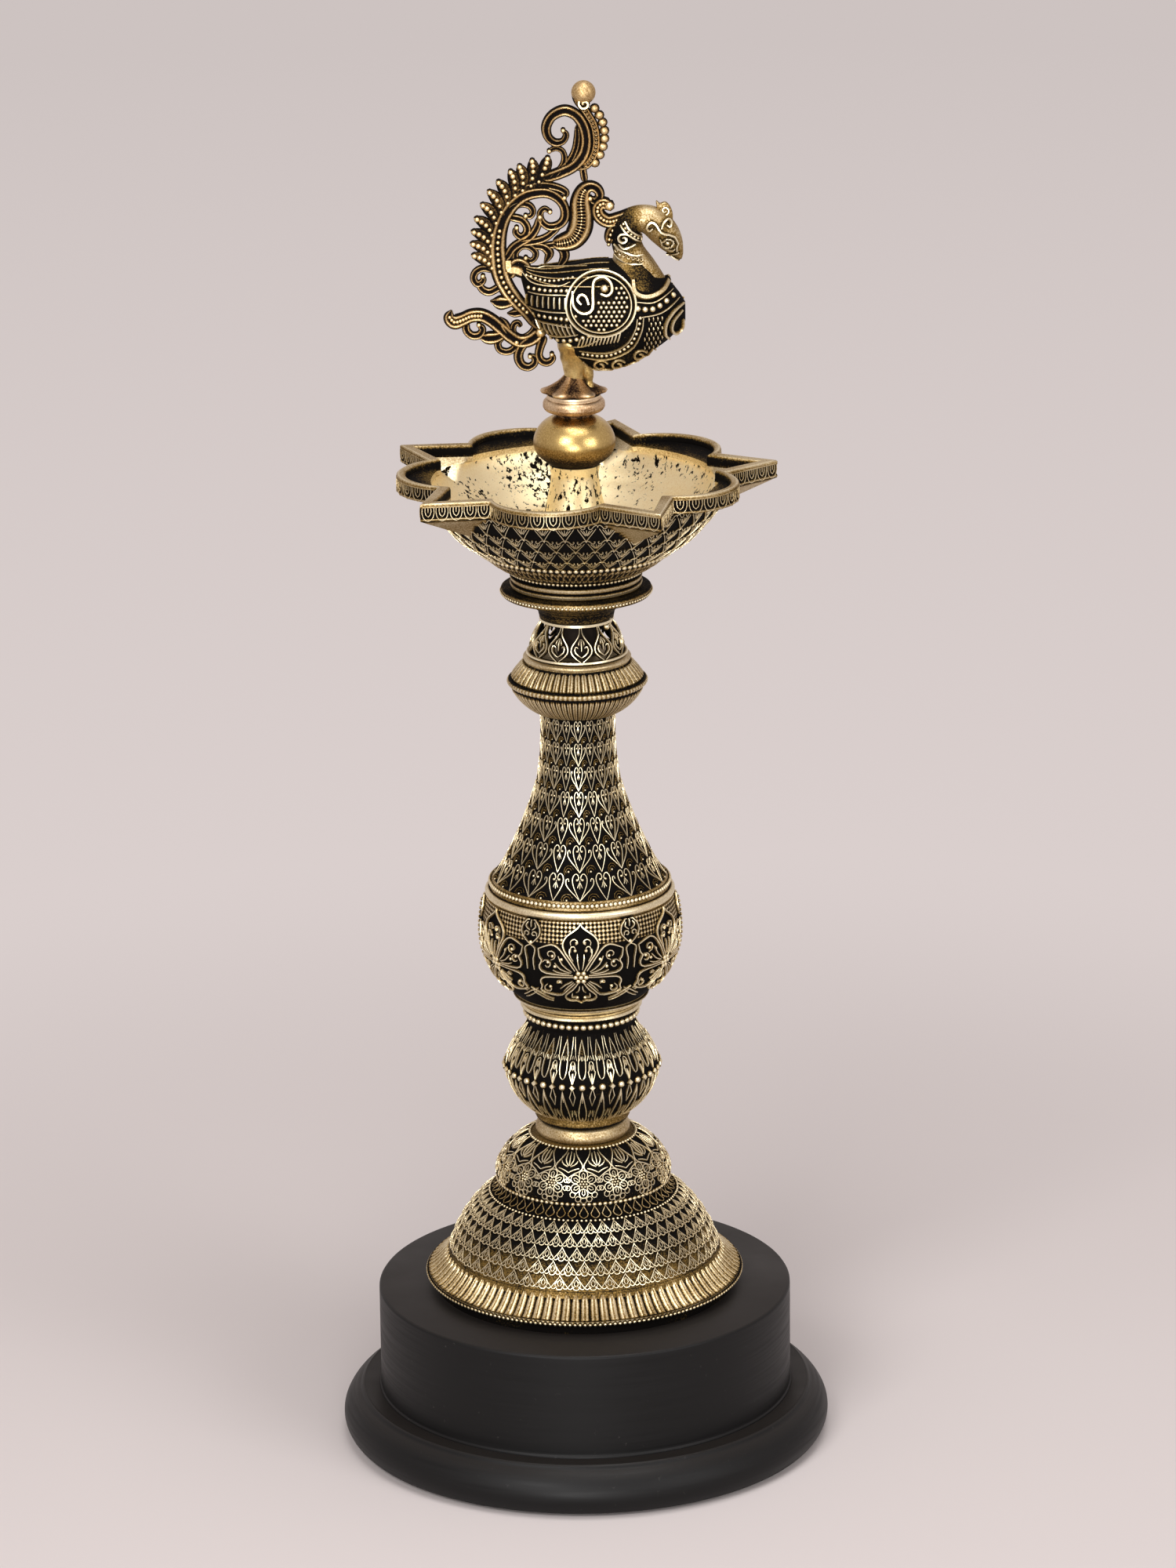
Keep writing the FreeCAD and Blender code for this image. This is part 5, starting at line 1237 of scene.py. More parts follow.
# Peacock body: hollow brass casting shaped like a boat, covered in relief on both flanks: a wing
# disc with an S scroll, rows of beads and bars, feather scales on the breast and running scrolls
# along the belly. Places are given in hundredths of the bird's length and height.
body_sections = (
    (30, 37.5, 34.5, 0.1), (33.5, 36.5, 24, 0.32), (38, 36.2, 17.5, 0.55), (44, 36.5, 11.5, 0.76),
    (52, 37.6, 5.5, 0.92), (62, 38.8, 1.2, 1), (72, 38.5, 2.5, 1), (82, 36, 6, 0.9),
    (90, 32.5, 10.2, 0.7), (95.5, 27.5, 14.5, 0.46), (98.5, 23.5, 17.5, 0.22))
body_half_width = 12.5 * mm
table = smooth(body_sections, 160)
section_x, top = on_bird(table[:, :2]).T
bottom = on_bird(table[:, ::2])[:, 1]
section_middle, section_half = (top + bottom) / 2, (top - bottom) / 2
section_width = table[:, 3] * body_half_width


def body_section(x):
    """Middle, half height and half width of the body's elliptic section at x."""
    return (np.interp(x, section_x, column)
            for column in (section_middle, section_half, section_width))


def body_depth(x, z):
    """Half thickness of the body at a place in its side view: its section is an ellipse."""
    middle, half, width = body_section(x)
    return width * np.sqrt(np.clip(1 - ((z - middle) / half) ** 2, 0.02, 1))


def flank(depth, side):
    """Surface over the side view with y = side times depth(x, z), and its normal, the gradient of
    |y| - depth by central differences."""
    step = 0.1 * mm

    def place(x, z):
        x, z = np.broadcast_arrays(x, z)
        slope_x = (depth(x + step, z) - depth(x - step, z)) / (2 * step)
        slope_z = (depth(x, z + step) - depth(x, z - step)) / (2 * step)
        point = np.stack([x, side * depth(x, z), z], -1)
        normal = np.stack([-np.clip(slope_x, -3, 3), side + 0 * x, -np.clip(slope_z, -3, 3)], -1)
        return point, normal / np.linalg.norm(normal, axis=-1, keepdims=True)
    return place


def both_flanks(depth, kind, lines, *sizes):
    """The same relief on both sides: kind is ridges, for lines, or studs, for single places."""
    made = []
    for side in (-1, 1):
        place = flank(depth, side)
        if kind is studs:
            x, z = on_bird(lines).T
            made.append(studs(place, (x, z), *sizes))
        else:
            for line in lines:
                x, z = on_bird(line).T
                made.append(ridges(place, (x[None], z[None]), *sizes))
    return made


def along(points, count):
    """Count places evenly along the smooth curve through a few points, of which only the length
    and height are read."""
    curve = smooth(points, 80)[:, :2]
    steps = np.concatenate([[0], np.cumsum(np.hypot(*np.diff(curve, axis=0).T))])
    return np.stack([np.interp(np.linspace(0, steps[-1], count), steps, curve[:, k])
                     for k in (0, 1)], -1)


ring_bead = ((0.0, 0.3, 0.0), (0.35, 0.62, 0.35), (0.62, 0.82, 1.0), (1.0, 0.2, 0.4),
             (0.9, -0.5, 0.0))
turn = np.arange(48) * 2 * np.pi / 48
rings = np.stack([np.broadcast_to(section_x[:, None], (160, 48)),
                  section_width[:, None] * np.cos(turn),
                  section_middle[:, None] + section_half[:, None] * np.sin(turn)], -1)
parts = [shell(rings[::2], np.full((80, 48), 0.06))]
circle = np.linspace(0, 2 * np.pi, 49)


def disc_ring(share):
    """Ellipse about the wing disc's centre at a share of its radii."""
    return np.stack([63.5 + 14.3 * share * np.cos(circle), 25.7 + 10.4 * share * np.sin(circle)], -1)


parts += both_flanks(body_depth, ridges, [disc_ring(0.985)], 1.3 * mm, 1.2 * mm, 1, 0.9)
parts += both_flanks(body_depth, ridges, [disc_ring(0.86)], 0.75 * mm, 0.9 * mm, 1, 0.8)
wing_scroll = smooth([(52, 30), (52.5, 25.5), (56, 23.2), (60, 24.5), (60.3, 30), (61, 33),
                      (64.5, 34), (67.5, 32.5), (68, 30), (66, 28.7), (63.5, 29.3)], 34)
parts += both_flanks(body_depth, ridges, [wing_scroll], 1.6 * mm, 1.5 * mm, 0.7)
parts += both_flanks(body_depth, ridges, [smooth([(58.5, 26), (57.5, 28.3), (55.5, 29), (54, 27.5),
                                                  (55.5, 26)], 12)], 1.5 * mm, 1.3 * mm, 0.7)
parts += both_flanks(body_depth, studs, [(65, 31)], 1.5 * mm)
field = [(u, v) for k, v in enumerate(17.6 + 1.5 * np.arange(11))
         for u in 52 + 1.05 * (k % 2) + 2.1 * np.arange(13)
         if ((u - 63.5) / 11.6) ** 2 + ((v - 25.7) / 8.4) ** 2 < 1
         and np.hypot(wing_scroll[:, 0] - u, (wing_scroll[:, 1] - v) * 1.22).min() > 1.7
         and not (u < 60 and v > 23) and not (v > 28 and u < 68.5)]
parts += both_flanks(body_depth, studs, field, 0.64 * mm)
lines = [smooth(line, 14) for line in (
    [(31, 35.5), (36, 32), (46, 31.3), (51, 32.8)], [(32, 36.6), (42, 36.2), (58, 37.3)],
    [(34, 29), (41, 28.6), (49.5, 28.8)], [(34.5, 23.5), (42, 23.2), (49.5, 23.2)],
    [(36, 19.3), (44, 19.0), (51, 18.2)], [(40.5, 14.3), (46, 14.6), (54, 15.8)],
    [(51, 11), (57, 12), (63, 14.5)], [(54, 7.2), (66, 6.9), (75.6, 10.4), (79.8, 16.6),
                                       (80.8, 21.3)],
    [(54.5, 9.6), (66, 9.4), (73.6, 12.4), (77.4, 17.6), (78.2, 21)],
    [(78, 26.5), (85, 26), (93, 29)], [(80, 21.5), (88, 22.5), (95.5, 26)])]
parts += both_flanks(body_depth, ridges, lines, 0.75 * mm, 0.9 * mm, 0.6, 0.8)
for path, count, size in (([(33, 34.2), (42, 32.9), (52, 34.2)], 11, 0.6),
                          ([(34, 30.4), (41, 30), (49.5, 30.2)], 8, 0.75),
                          ([(36, 21.3), (42, 21.1), (49.5, 20.9)], 7, 0.8),
                          ([(43, 12.6), (51, 13.4), (58.5, 15.4)], 7, 0.85),
                          ([(56, 8.4), (66, 8.1), (74.6, 11.4), (78.4, 17), (79.5, 21.2)], 17, 0.66),
                          ([(78.5, 24.4), (85, 24), (93, 27.3)], 6, 1.1)):
    parts += both_flanks(body_depth, studs, along(path, count), size * mm, plain_bead, 8)
bars = []
for path, top, count in (([(33.5, 24.5), (49, 24.3)], (0, 3.6), 8),
                         ([(38.5, 14.8), (53, 15.4)], (-2.0, 4.0), 9),
                         ([(54, 11.4), (70, 13.4)], (1.2, 3.2), 12)):
    for u, v in along(path, count):
        bars.append(np.array([(u, v), (u + top[0] * 0.55, v + top[1] * 0.5), (u + top[0],
                                                                           v + top[1])]))
parts += both_flanks(body_depth, ridges, bars, 1.0 * mm, 1.0 * mm, 0.8, 0.9)


def over_back(x, turn):
    """Place and normal on the body's elliptic section at x and a turn from the right flank."""
    middle, half, width = body_section(x)
    point = np.stack([x, width * np.cos(turn), middle + half * np.sin(turn)], -1)
    normal = np.stack([0 * x, half * np.cos(turn), width * np.sin(turn)], -1)
    return point, normal / np.linalg.norm(normal, axis=-1, keepdims=True)


back_x = on_bird([(u, 0) for u in np.linspace(33, 67, 24)])[:, 0]
for degrees in (38, 50, 62, 74, 106, 118, 130, 142):
    parts.append(ridges(over_back, (back_x[None], np.full((1, 24), math.radians(degrees))), 0.7 * mm,
                        0.5 * mm, 0.8, 0.62))
scales = []
for k in range(8):
    v = 20.6 - 1.75 * k
    for u in 74 + 0.9 * (k % 2) + 1.8 * np.arange(12):
        if (np.interp(v, (7, 10.4, 16.6, 21.3), (80.5, 80, 82, 82.5)) < u
                < np.interp(v, (7, 12, 20), (85, 89, 88.5))):
            scales.append(np.array([(u, v + 0.6), (u, v), (u, v - 0.8)]))
parts += both_flanks(body_depth, ridges, scales, 0.85 * mm, 0.6 * mm, 0.5, 0.85)
lip = smooth([(76.5, 33.0), (77.4, 29.4), (82, 27.8), (88, 29.0), (91.8, 32.0)], 18)
parts += both_flanks(body_depth, ridges, [lip], 2.6 * mm, 1.5 * mm, 0.8, 0.75)
breast = [smooth([(97, 24), (93, 22.5), (89.8, 19), (89.3, 15), (91.2, 12.5)], 14),
          smooth([(96.4, 22), (92.8, 19.4), (91.8, 16.4), (93.8, 14.3), (96.3, 16), (96.8, 19)], 16)]
parts += both_flanks(body_depth, ridges, breast, 1.6 * mm, 1.4 * mm, 0.7, 0.8)
belly = [curl(0, 0, 3.1, 0.7, 0.05, 1.3, 18) * (1, 0.8) + (u, v)
         for u, v in ((63, 4.3), (70, 4.2), (79, 7.4))]
belly.append(smooth([(56, 5.2), (60, 2.4), (65, 2.6), (70, 1.9), (76, 4.4), (81, 5.4),
                     (84.5, 9.5)], 20))
parts += both_flanks(body_depth, ridges, belly, 1.3 * mm, 1.0 * mm, 0.7, 0.75)
make_piece("peacock_body_casting", "peacock_body", parts, antique_brass, "peacock")


# Neck and head: one brass casting that stands in a lipped socket of the body, bent over forward,
# with a necklace, a spiral cheek, a brow scroll, a ringed eye and a hooked beak.
head_sections = (
    (83.5, 29.5, 1.24, 1.24), (80, 35, 1.15, 1.1), (75.7, 41, 1.04, 1.02), (74, 46.5, 1, 0.98),
    (75.5, 51, 0.93, 0.93), (80, 52.5, 0.93, 0.93), (85, 51.5, 1.02, 0.98), (89.5, 48, 1.02, 0.93),
    (93, 44, 0.8, 0.71), (95.5, 40.5, 0.4, 0.36), (96.5, 38.5, 0.11, 0.11))
neck_half_width = 4.5 * mm
path = smooth(head_sections, 150)
centre = on_bird(path[:, :2])
half_across, half_deep = path[:, 2] * neck_half_width, path[:, 3] * neck_half_width
way = np.gradient(centre, axis=0)
way /= np.linalg.norm(way, axis=1, keepdims=True)
outward = np.stack([way[:, 1], 0 * way[:, 0], -way[:, 0]], -1)


def head_depth(x, z):
    """Half thickness of neck and head at a place in the side view: from the nearest point of the
    centre line, the section is an ellipse."""
    gap = np.stack([x, z], -1)[..., None, :] - centre
    near = np.argmin((gap ** 2).sum(-1), -1)
    off = np.take_along_axis(gap, near[..., None, None], -2)[..., 0, :]
    aside = off[..., 0] * way[near, 1] - off[..., 1] * way[near, 0]
    return half_deep[near] * np.sqrt(np.clip(1 - (aside / half_across[near]) ** 2, 0.04, 1))


def pressed_curl(x, y, outer, inner, start, end, count=18):
    """Curl in hundredths of the bird, 0.82 as high, so that it comes out round."""
    return curl(0, 0, outer, inner, start, end, count) * (1, 0.82) + (x, y)


turn = np.arange(32) * 2 * np.pi / 32
rings = (np.stack([centre[:, 0], 0 * centre[:, 0], centre[:, 1]], -1)[:, None]
         + outward[:, None] * (half_across[:, None] * np.cos(turn))[..., None]
         + np.array((0, 1, 0)) * (half_deep[:, None] * np.sin(turn))[..., None])
smoothed = np.interp(np.linspace(0, 1, 150), (0, 0.2, 0.28, 0.44, 0.52, 1),
                     (0.5, 0.5, 0.12, 0.25, 0.62, 0.55))[:, None] * np.ones(32)
root_sections = (
    (75.2, 43, 4.2, 4), (75.4, 40, 4.9, 4.8), (76.2, 37, 5.9, 6), (77.3, 34, 6.9, 7.8),
    (78.6, 31, 7.8, 9.3), (80, 28.5, 8.2, 9.6))
root = upright(root_sections, 24)[::-1]
lines = [smooth(line, 14) for line in (
    [(69.8, 41.0), (72, 39.6), (75, 38.4), (80.6, 37.9)],
    [(69.5, 44.6), (72, 43), (77, 41), (80.6, 40.7)],
    [(71.4, 44.9), (73.6, 43.4), (77.6, 44.6)],
    [(74, 52.4), (75.6, 49.6), (78.8, 47.2), (80.8, 46)],
    [(72.2, 51.2), (74.2, 48.6), (77.4, 46.2), (79.8, 45)])]
parts = both_flanks(head_depth, ridges, lines, 1.1 * mm, 1.0 * mm, 0.7)
parts += both_flanks(head_depth, studs, along([(70.5, 42.6), (74.3, 40.8), (80.2, 39.3)], 7),
                     0.85 * mm, ring_bead, 8)
parts += both_flanks(head_depth, studs, along([(73.2, 51.6), (75, 49), (80.2, 45.6)], 7),
                     0.6 * mm)
scrolls = [pressed_curl(73.2, 46.6, 2.4, 0.4, 0.1, 1.4),
           smooth([(85.2, 50.2), (83.9, 49.4), (82.9, 50.6), (84.2, 52.2), (86.4, 51.4),
                   (88.4, 48.9), (91.2, 47.9), (93.6, 46.9), (95, 44.4), (94.6, 42)], 26),
           smooth([(90.6, 50.9), (91.7, 50.3), (92.2, 51.6), (91, 52.6), (89.3, 51.8),
                   (88.6, 49.8)], 14)]
eye = np.stack([91.2 + 2.2 * np.cos(circle), 44.9 + 1.5 * np.sin(circle)], -1)
socket = smooth([(88.2, 46.6), (89.4, 43.8), (92, 42.4), (94.2, 42.6)], 10)
beak = [smooth([(90.6, 40.2), (92, 40.3), (94, 40.7), (95.6, 41.2)], 10),
        smooth([(92.6, 39.8), (94.6, 38.6), (96, 38.2)], 6)]
outlined = np.concatenate([on_bird(line) for line in scrolls + [eye, socket] + beak])
off = np.hypot(rings[..., 0, None] - outlined[:, 0], rings[..., 2, None] - outlined[:, 1]).min(-1)
smoothed = smoothed - 0.3 * np.exp(-(off / (0.8 * mm)) ** 2)
root_worn = 0.34 - 0.3 * np.cos(np.arange(48) * 2 * np.pi / 48)
parts += [shell(rings, smoothed), shell(root, np.ones((24, 1)) * root_worn)]
parts += both_flanks(head_depth, ridges, scrolls, 1.3 * mm, 1.1 * mm, 0.7)
parts += both_flanks(head_depth, ridges, [eye, socket], 0.8 * mm, 0.9 * mm, 1)
parts += both_flanks(head_depth, studs, [(91.2, 44.9)], 0.85 * mm)
parts += both_flanks(head_depth, ridges, beak, 0.8 * mm, 0.6 * mm, 0.8)
make_piece("peacock_head_casting", "peacock_neck_and_head", parts, antique_brass, "peacock")


# Pierced work: strokes of cast brass, each a ribbon with a raised line along both edges and a
# groove between, the same on front and back, soldered edge to edge.
def closed_section(upper):
    """Section of a stroke: its upper half, and the lower half that repeats it turned over."""
    return np.array(upper + tuple((x, -y, worn) for x, y, worn in upper[-2:0:-1]))


double_ridge = closed_section((
    (1.0, 0.0, -0.3), (0.92, 0.6, -0.3), (0.58, 1.0, 0.98), (0.26, 0.66, 0.0), (0.0, 0.56, -0.3),
    (-0.26, 0.66, 0.0), (-0.58, 1.0, 0.98), (-0.92, 0.6, -0.3), (-1.0, 0.0, -0.3)))
leaf_section = closed_section((
    (1.0, 0.0, -0.2), (0.85, 0.6, 0.0), (0.4, 0.8, 0.25), (0.0, 0.84, 0.1), (-0.4, 0.8, 0.25),
    (-0.85, 0.6, 0.3), (-1.0, 0.0, -0.2)))
tarnished_brass = cast_brass("tarnished_cast_brass", "#0E0907", "#8E6C3C", "#FADFAA", 0.34)


def ribbon(places, width, thickness, section=double_ridge, steps=7):
    """Closed ribbon along the smooth curve through places of the side view, each with a share of
    the width: the section is scaled to the width in the plane and the thickness in Y, both less
    at the ends."""
    curve = smooth(places, (len(places) - 1) * steps + 1)
    middle = on_bird(curve[:, :2])
    ahead = np.gradient(middle, axis=0)
    ahead /= np.linalg.norm(ahead, axis=1, keepdims=True) + 1e-12
    aside = np.stack([ahead[:, 1], 0 * ahead[:, 0], -ahead[:, 0]], -1)
    last = len(curve) - 1
    ends = np.interp(np.arange(last + 1), (0, 1, 3, last - 3, last - 1, last),
                     (0.45, 0.8, 1, 1, 0.8, 0.45))
    across = (curve[:, 2] * width * 0.58 * ends + 0.15 * mm)[:, None] * section[:, 0]
    deep = (np.clip(curve[:, 2] * 1.5, 0.55, 1) * thickness / 2 * ends)[:, None] * section[:, 1]
    rings = (np.stack([middle[:, 0], 0 * middle[:, 0], middle[:, 1]], -1)[:, None]
             + aside[:, None] * across[..., None] + np.array((0, 1, 0)) * deep[..., None])
    return shell(rings, np.broadcast_to(section[:, 2], rings.shape[:2]))


def at_depth(level):
    """Flat face at a distance from the middle plane."""
    return lambda x, z: 0 * x + level


def strokes(lines, width, thickness):
    """Ribbons for all strokes of a scroll, each a little thinner than the one before, and a bead
    in the eye of each stroke that ends in a curl."""
    made = [ribbon(line, width, thickness * (1 - 0.02 * (k % 6))) for k, line in enumerate(lines)]
    for x, z, share in (line[-1] for line in lines if len(line) > 5):
        made += both_flanks(at_depth(thickness * 0.3), studs, [(x, z)],
                            max(0.8 * mm, width * share * 0.5))
    return made


# Comb: a small curled crest of thin cast brass on the head, one spiral on each face.
comb_rim = (
    (87.2, 54.5), (86.6, 58.5), (88.2, 57.8), (90.5, 58.2), (92.5, 56.5), (93.5, 53.5), (92.5, 50),
    (89, 51))
comb_thickness = 2.2 * mm
rim = on_bird(smooth(comb_rim + comb_rim[:1], 65)[:-1])
middle = rim.mean(0)
rings = []
for share, deep in ((0.8, -1), (0.95, -0.8), (1, -0.3), (1, 0.3), (0.95, 0.8), (0.8, 1)):
    flat = middle + (rim - middle) * share
    rings.append(np.stack([flat[:, 0], np.full(64, deep * comb_thickness / 2), flat[:, 1]], -1))
rings = np.stack(rings)
area = (rim[:, 0] * np.roll(rim[:, 1], -1) - rim[:, 1] * np.roll(rim[:, 0], -1)).sum()
rings = rings[:, ::-1] if area > 0 else rings
parts = [shell(rings, np.full((6, 64), 0.5))]
parts += both_flanks(at_depth(comb_thickness * 0.48), ridges,
                     [pressed_curl(90.2, 55.4, 2.2, 0.4, 0.55, 1.9, 16)], 0.8 * mm, 0.5 * mm, 0.7)
make_piece("comb_casting", "peacock_comb", parts, antique_brass, "peacock")


# Nape plume: a beaded brass scroll from the head's back to the tail, curled up at its end.
nape_strokes = (
    ((85, 55.2, 0.7), (78, 54.5, 0.9), (72, 52.7, 1), (67, 51.8, 1), (63.5, 53.5, 1),
     (62.5, 56.2, 0.9), (64.5, 58, 0.9), (67.5, 57.2, 0.9)),
    ((73, 51.5, 0.9), (69, 49, 0.9), (67.5, 46.5, 0.8), (67, 44, 0.4)))
nape_width, nape_thickness = 3.6 * mm, 4.0 * mm
parts = strokes(nape_strokes, nape_width, nape_thickness)
for stroke, count in zip(nape_strokes, (24, 7)):
    parts += both_flanks(at_depth(nape_thickness * 0.3), studs, along(stroke, count), 0.66 * mm)
make_piece("nape_plume_casting", "nape_plume", parts, tarnished_brass, "peacock")


# Tail fan: pierced brass crescent with a row of ringed beads along it, eleven pointed leaves on
# its outer edge and scrolls inside.
fan_strokes = (
    ((38, 15.5, 0.8), (33, 21, 0.9), (29, 24.5, 1), (25, 29, 1.1), (22.3, 34, 1.15), (21.5, 39, 1.15),
     (21.3, 44, 1.1), (22.2, 49, 1), (24.2, 53.5, 0.9), (27.5, 57.5, 0.85), (32, 60.5, 0.8),
     (37, 61.8, 0.75), (42, 61.8, 0.7), (46.5, 59.8, 0.65), (49, 56.5, 0.6), (49, 53, 0.6),
     (46.5, 50.7, 0.55), (42.5, 50.2, 0.5), (39.6, 52, 0.45), (39, 54.8, 0.4), (40.8, 56.3, 0.35),
     (43, 55.3, 0.3)),
    ((24.5, 54, 0.4), (28, 53.4, 0.5), (31.5, 52.5, 0.5), (33.5, 50, 0.5), (33, 47.8, 0.5),
     (30.8, 46.8, 0.45), (28.8, 48.2, 0.4), (29.2, 50, 0.35)),
    ((24, 54, 0.4), (27, 56.5, 0.45), (31, 58, 0.45), (34.5, 57.5, 0.45), (36, 55.5, 0.4),
     (35, 53.8, 0.35), (33, 54, 0.3)),
    ((22.5, 39, 0.4), (25, 40, 0.5), (27.5, 43, 0.55), (31, 45, 0.55), (35, 47, 0.55), (37.5, 50, 0.5),
     (38.8, 53.5, 0.45)),
    ((30, 44.6, 0.4), (35, 45, 0.5), (40, 46, 0.5), (43.5, 47.8, 0.45), (47, 50.5, 0.4)),
    ((29, 37, 0.6), (28.6, 41, 0.4), (31.2, 43.4, 0.4), (34.5, 43.2, 0.4), (36.8, 41.4, 0.4),
     (36.4, 39.4, 0.35), (34.5, 38.5, 0.35), (32.8, 39.6, 0.3)),
    ((25.5, 33, 0.7), (27.5, 36, 1), (30, 37.5, 1), (34, 35.5, 0.9)),
    ((36, 43.5, 0.4), (40, 43.2, 0.5), (42.5, 41, 0.6), (40.5, 37.5, 0.15)),
    ((40, 43.5, 0.4), (45, 43.8, 0.5), (48.2, 42, 0.6), (48.7, 39.5, 0.6), (46.5, 36.5, 0.3)),
    ((22.5, 35, 0.5), (19, 35.5, 0.4), (15, 36.1, 0.45), (12, 34.8, 0.45), (11.2, 32.5, 0.45),
     (12.8, 30.7, 0.45), (15, 31.8, 0.4), (15, 33.5, 0.3)),
    ((13, 31, 0.4), (15, 28.7, 0.5), (18, 28, 0.5), (22, 29.7, 0.5), (24, 30, 0.5)),
    ((27, 60, 0.5), (33, 63.2, 0.55), (39, 64.3, 0.55), (45, 63.8, 0.5), (49.5, 62, 0.45),
     (49, 60, 0.3)),
    ((17.8, 24.8, 0.05), (21.5, 24.3, 0.9), (24.5, 24.3, 0.8), (28, 25, 0.5)),
    ((24.7, 20.5, 0.05), (27.5, 20.5, 0.5), (31, 20.8, 0.5), (33.5, 20, 0.5)))
leaf_ends = (
    (10.2, 40.8, 20, 34.5), (9.8, 44.8, 19.5, 38.5), (10.3, 49, 19.5, 42), (11.7, 53.5, 20, 45.5),
    (14.3, 58.3, 21.5, 49.5), (17.3, 62.8, 23.5, 53), (21.2, 66.2, 26, 56), (26.5, 69.8, 28.5, 58.5),
    (30.3, 71.6, 31.5, 60), (35.7, 73.5, 34.5, 61.5), (42.5, 74.3, 37, 63))
fan_width, tail_thickness, leaf_width = 4.0 * mm, 3.4 * mm, 3.1 * mm
parts = strokes(fan_strokes, fan_width, tail_thickness)
bead_face, leaf_face = at_depth(tail_thickness * 0.3), at_depth(tail_thickness * 0.34)
parts += both_flanks(bead_face, studs, along(fan_strokes[0][1:8], 17), 0.72 * mm)
t = np.array((0, 0.12, 0.3, 0.5, 0.7, 0.88, 1.0))
leaf_bow = 1.2 * np.sin(np.pi * t)
leaf_widths = np.array((0.12, 0.6, 0.95, 1.0, 0.85, 0.7, 0.55))
for k, (tip_u, tip_v, root_u, root_v) in enumerate(leaf_ends):
    leaf = np.stack([tip_u + (root_u - tip_u) * t + leaf_bow, tip_v + (root_v - tip_v) * t + leaf_bow,
                     leaf_widths], -1)
    parts.append(ribbon(leaf, leaf_width, tail_thickness * (0.9 + 0.02 * (k % 3)), leaf_section,
                        3))
    spots = smooth(leaf[:, :2], 14)
    parts += both_flanks(leaf_face, studs, spots[[2, 4, 6, 8, 10]],
                         np.array((0.95, 1.0, 0.9, 0.78, 0.66)) * mm, plain_bead, 8)
    parts += both_flanks(leaf_face, ridges, [spots[:3]], 1.3 * mm, 0.6 * mm, 0.3)
parts += both_flanks(bead_face, ridges, [smooth([(25.5, 39), (26, 36), (29, 35.6), (32.5, 34)], 10)],
                     4.2 * mm, 1.2 * mm, 0.8, 0.7)
make_piece("tail_fan_casting", "tail_fan", parts, tarnished_brass, "peacock")


# Lower tail scroll: pierced brass branch under the fan, with beads along its upper stroke.
lower_strokes = (
    ((1.8, 21.8, 0.1), (1, 19.5, 0.8), (3, 17.8, 1), (6.5, 18.6, 0.9), (10, 19.8, 0.9),
     (14, 19.9, 0.9), (18, 18.3, 0.9), (22, 15.5, 0.9), (26, 12.6, 0.9), (30, 10.8, 0.9),
     (34.5, 11.5, 0.9), (38.5, 14, 0.9)),
    ((8, 17.8, 0.4), (7.8, 15, 0.5), (10, 13, 0.5), (13, 13.1, 0.5), (14.5, 15, 0.45), (13, 16.7, 0.35)),
    ((13, 12.6, 0.2), (16.5, 12.1, 0.8), (20, 12.3, 0.8), (24, 13.5, 0.4)),
    ((23.5, 13, 0.4), (20.8, 10.5, 0.45), (21.5, 8, 0.45), (24.5, 7.2, 0.45), (27.2, 8.2, 0.45),
     (28.5, 10.5, 0.4)),
    ((34.5, 11.5, 0.6), (31.5, 9.8, 0.6), (29.5, 7.2, 0.6), (29.3, 4.5, 0.6), (30.8, 2.4, 0.55),
     (33.5, 1.8, 0.5), (35.8, 3.1, 0.45), (35.8, 5, 0.4), (34, 5.6, 0.3)),
    ((40, 12.5, 0.6), (38.3, 9, 0.55), (37.6, 6, 0.5), (38.8, 3.9, 0.5), (41.2, 3.3, 0.5),
     (43.3, 4.5, 0.4), (43, 6.2, 0.3)),
    ((21.7, 19.2, 0.1), (23.5, 16.8, 0.6), (25.5, 13.5, 0.5)),
    ((29.5, 11.2, 0.4), (27.2, 14, 0.4), (27.5, 16.5, 0.4), (29.2, 17.2, 0.35), (30.5, 15.8, 0.3)),
    ((30, 11.5, 0.4), (34, 13.2, 0.4), (36.5, 16, 0.45), (36, 19, 0.5)))
parts = strokes(lower_strokes, 4.0 * mm, tail_thickness)
parts += both_flanks(bead_face, studs, along(lower_strokes[0][1:6], 12), 0.7 * mm)
make_piece("tail_lower_casting", "tail_lower_scroll", parts, tarnished_brass, "peacock")


# Crest scroll: pierced brass branch that stands on the fan, round beads down its outer edge and
# a polished knob with a small curl under it on top.
crest_strokes = (
    ((40.5, 66.7, 0.8), (47, 68.4, 0.9), (53, 70.8, 0.9), (56.8, 74.5, 0.9), (58.2, 79, 0.85),
     (57.3, 84, 0.85), (54.3, 88, 0.85), (49.5, 89.7, 0.85), (44.5, 88, 0.8), (42, 84.5, 0.75),
     (42.5, 81, 0.65), (45.2, 78.9, 0.6), (48.5, 79.2, 0.5), (50, 81.3, 0.45), (48.8, 83, 0.3)),
    ((47, 69, 0.4), (51, 72.2, 0.5), (53.5, 76, 0.5), (54.5, 80, 0.5), (54.5, 84.5, 0.3)),
    ((42.5, 65.5, 0.5), (47.5, 70, 0.45), (49.2, 73, 0.45), (48.5, 75.8, 0.4), (45.8, 76.9, 0.4),
     (43, 76, 0.35)),
    ((52, 70, 0.4), (58, 71, 0.6), (61.2, 74.5, 0.6), (62.4, 79, 0.6), (61.5, 84.5, 0.6),
     (58.5, 89, 0.6), (55.5, 93, 0.8), (55.5, 95.5, 1.2)),
    ((56.5, 71.2, 0.5), (57, 68, 0.5), (57.5, 65.5, 0.5)))
crest_beads = (
    (61.8, 90.3), (63.7, 88), (65, 85.5), (65.7, 82.7), (65.7, 80), (65, 77.3), (63.7, 74.5),
    (61.7, 71.8))
knob_place = (57.3, 95.7)
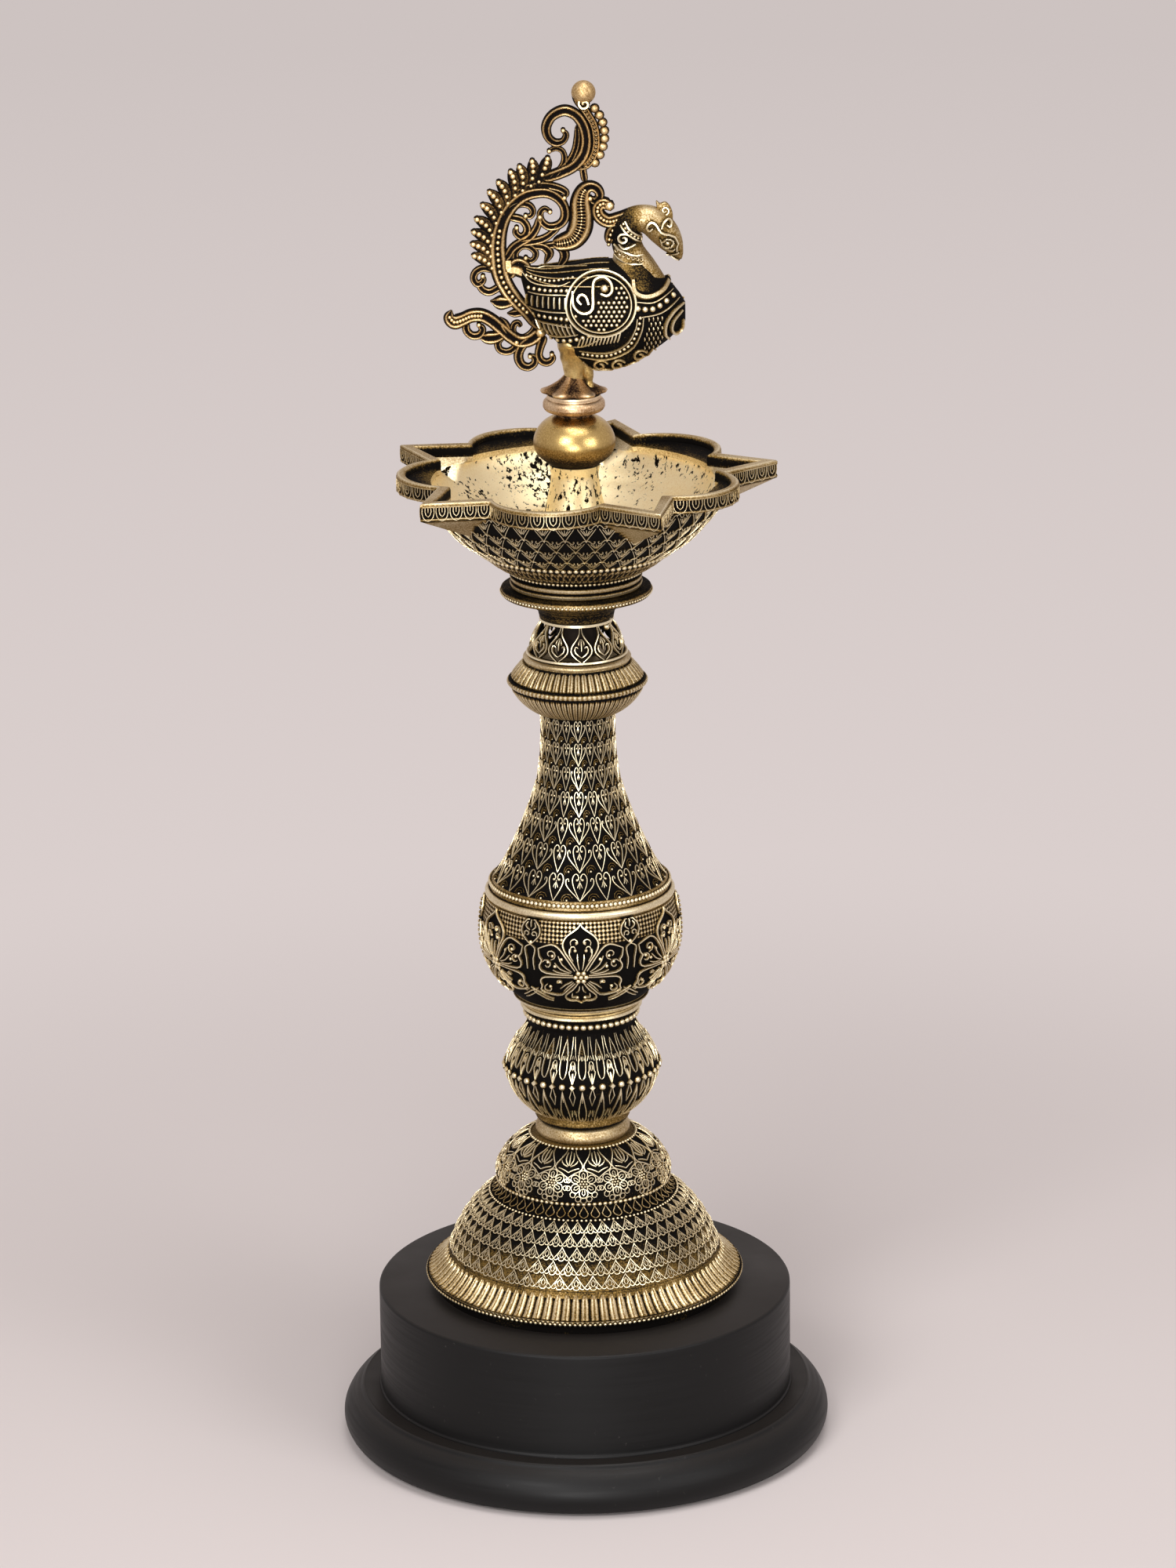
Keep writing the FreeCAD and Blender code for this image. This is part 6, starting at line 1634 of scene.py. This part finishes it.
crest_width, crest_thickness, crest_bead_radius = 3.4 * mm, 3.4 * mm, 1.55 * mm
knob_radius, knob_thickness = 3.7 * mm, 7.0 * mm
round_bead = ((0.0, 1.0, 0.8), (0.5, 0.87, 0.75), (0.87, 0.5, 0.2), (1.0, 0.0, -0.2),
              (0.87, -0.5, 0.2), (0.5, -0.87, 0.75))
knob_profile = [(math.sin(a), math.cos(a) * knob_thickness / 2 / knob_radius, 0.72)
                for a in np.linspace(0, np.pi, 13)]


def in_plane(x, z):
    """Places in the middle plane, facing front."""
    point = np.stack([x, 0 * x, z], -1)
    return point, np.broadcast_to((0.0, -1.0, 0.0), point.shape)


parts = strokes(crest_strokes, crest_width, crest_thickness)
parts.append(studs(in_plane, on_bird(crest_beads).T, crest_bead_radius, round_bead, 12))
parts.append(studs(in_plane, on_bird([knob_place]).T, knob_radius, knob_profile, 32))
parts += both_flanks(at_depth(crest_thickness * 0.5), ridges,
                     [pressed_curl(57.6, 92.2, 2.6, 0.5, 0.3, 1.6)], 1.3 * mm, 0.9 * mm, 0.8)
parts += both_flanks(at_depth(crest_thickness * 0.28), studs, along(crest_strokes[3][1:], 22),
                     0.55 * mm, ring_bead, 7)
make_piece("crest_casting", "tail_crest", parts, tarnished_brass, "peacock")


# S-shaped plume: brass, two edge lines with close cross ribs and a middle row of beads, curled
# over at the top.
plume_strokes = (
    ((44, 44.5, 0.5), (48, 44.7, 0.8), (52.5, 46, 1), (55.3, 49.5, 1.1), (56, 54, 1.05),
     (55.7, 58.5, 0.95), (56.8, 62.2, 0.7), (59.7, 63.8, 0.5), (62.6, 62.8, 0.45), (63.5, 60.5, 0.4),
     (61.5, 58.8, 0.35), (59.5, 59.8, 0.3)),)
plume_width, plume_thickness = 5.8 * mm, 5.0 * mm
parts = strokes(plume_strokes, plume_width, plume_thickness)
curve = smooth(plume_strokes[0][:8], 30)[2:-3]
middle, bird_size = curve[:, :2], np.array((0.74, 0.905))
ahead = np.gradient(middle * bird_size, axis=0)
ahead /= np.linalg.norm(ahead, axis=1, keepdims=True)
cross = ahead[:, ::-1] * (1, -1) / bird_size * curve[:, 2:] * 1.7
parts += both_flanks(at_depth(plume_thickness * 0.3), ridges,
                     [np.stack([m - c, m, m + c]) for m, c in zip(middle, cross)], 0.42 * mm,
                     0.5 * mm, 0.8, 0.5)
parts += both_flanks(at_depth(plume_thickness * 0.36), studs, middle, 0.42 * mm)
make_piece("s_plume_casting", "tail_plume", parts, tarnished_brass, "peacock")
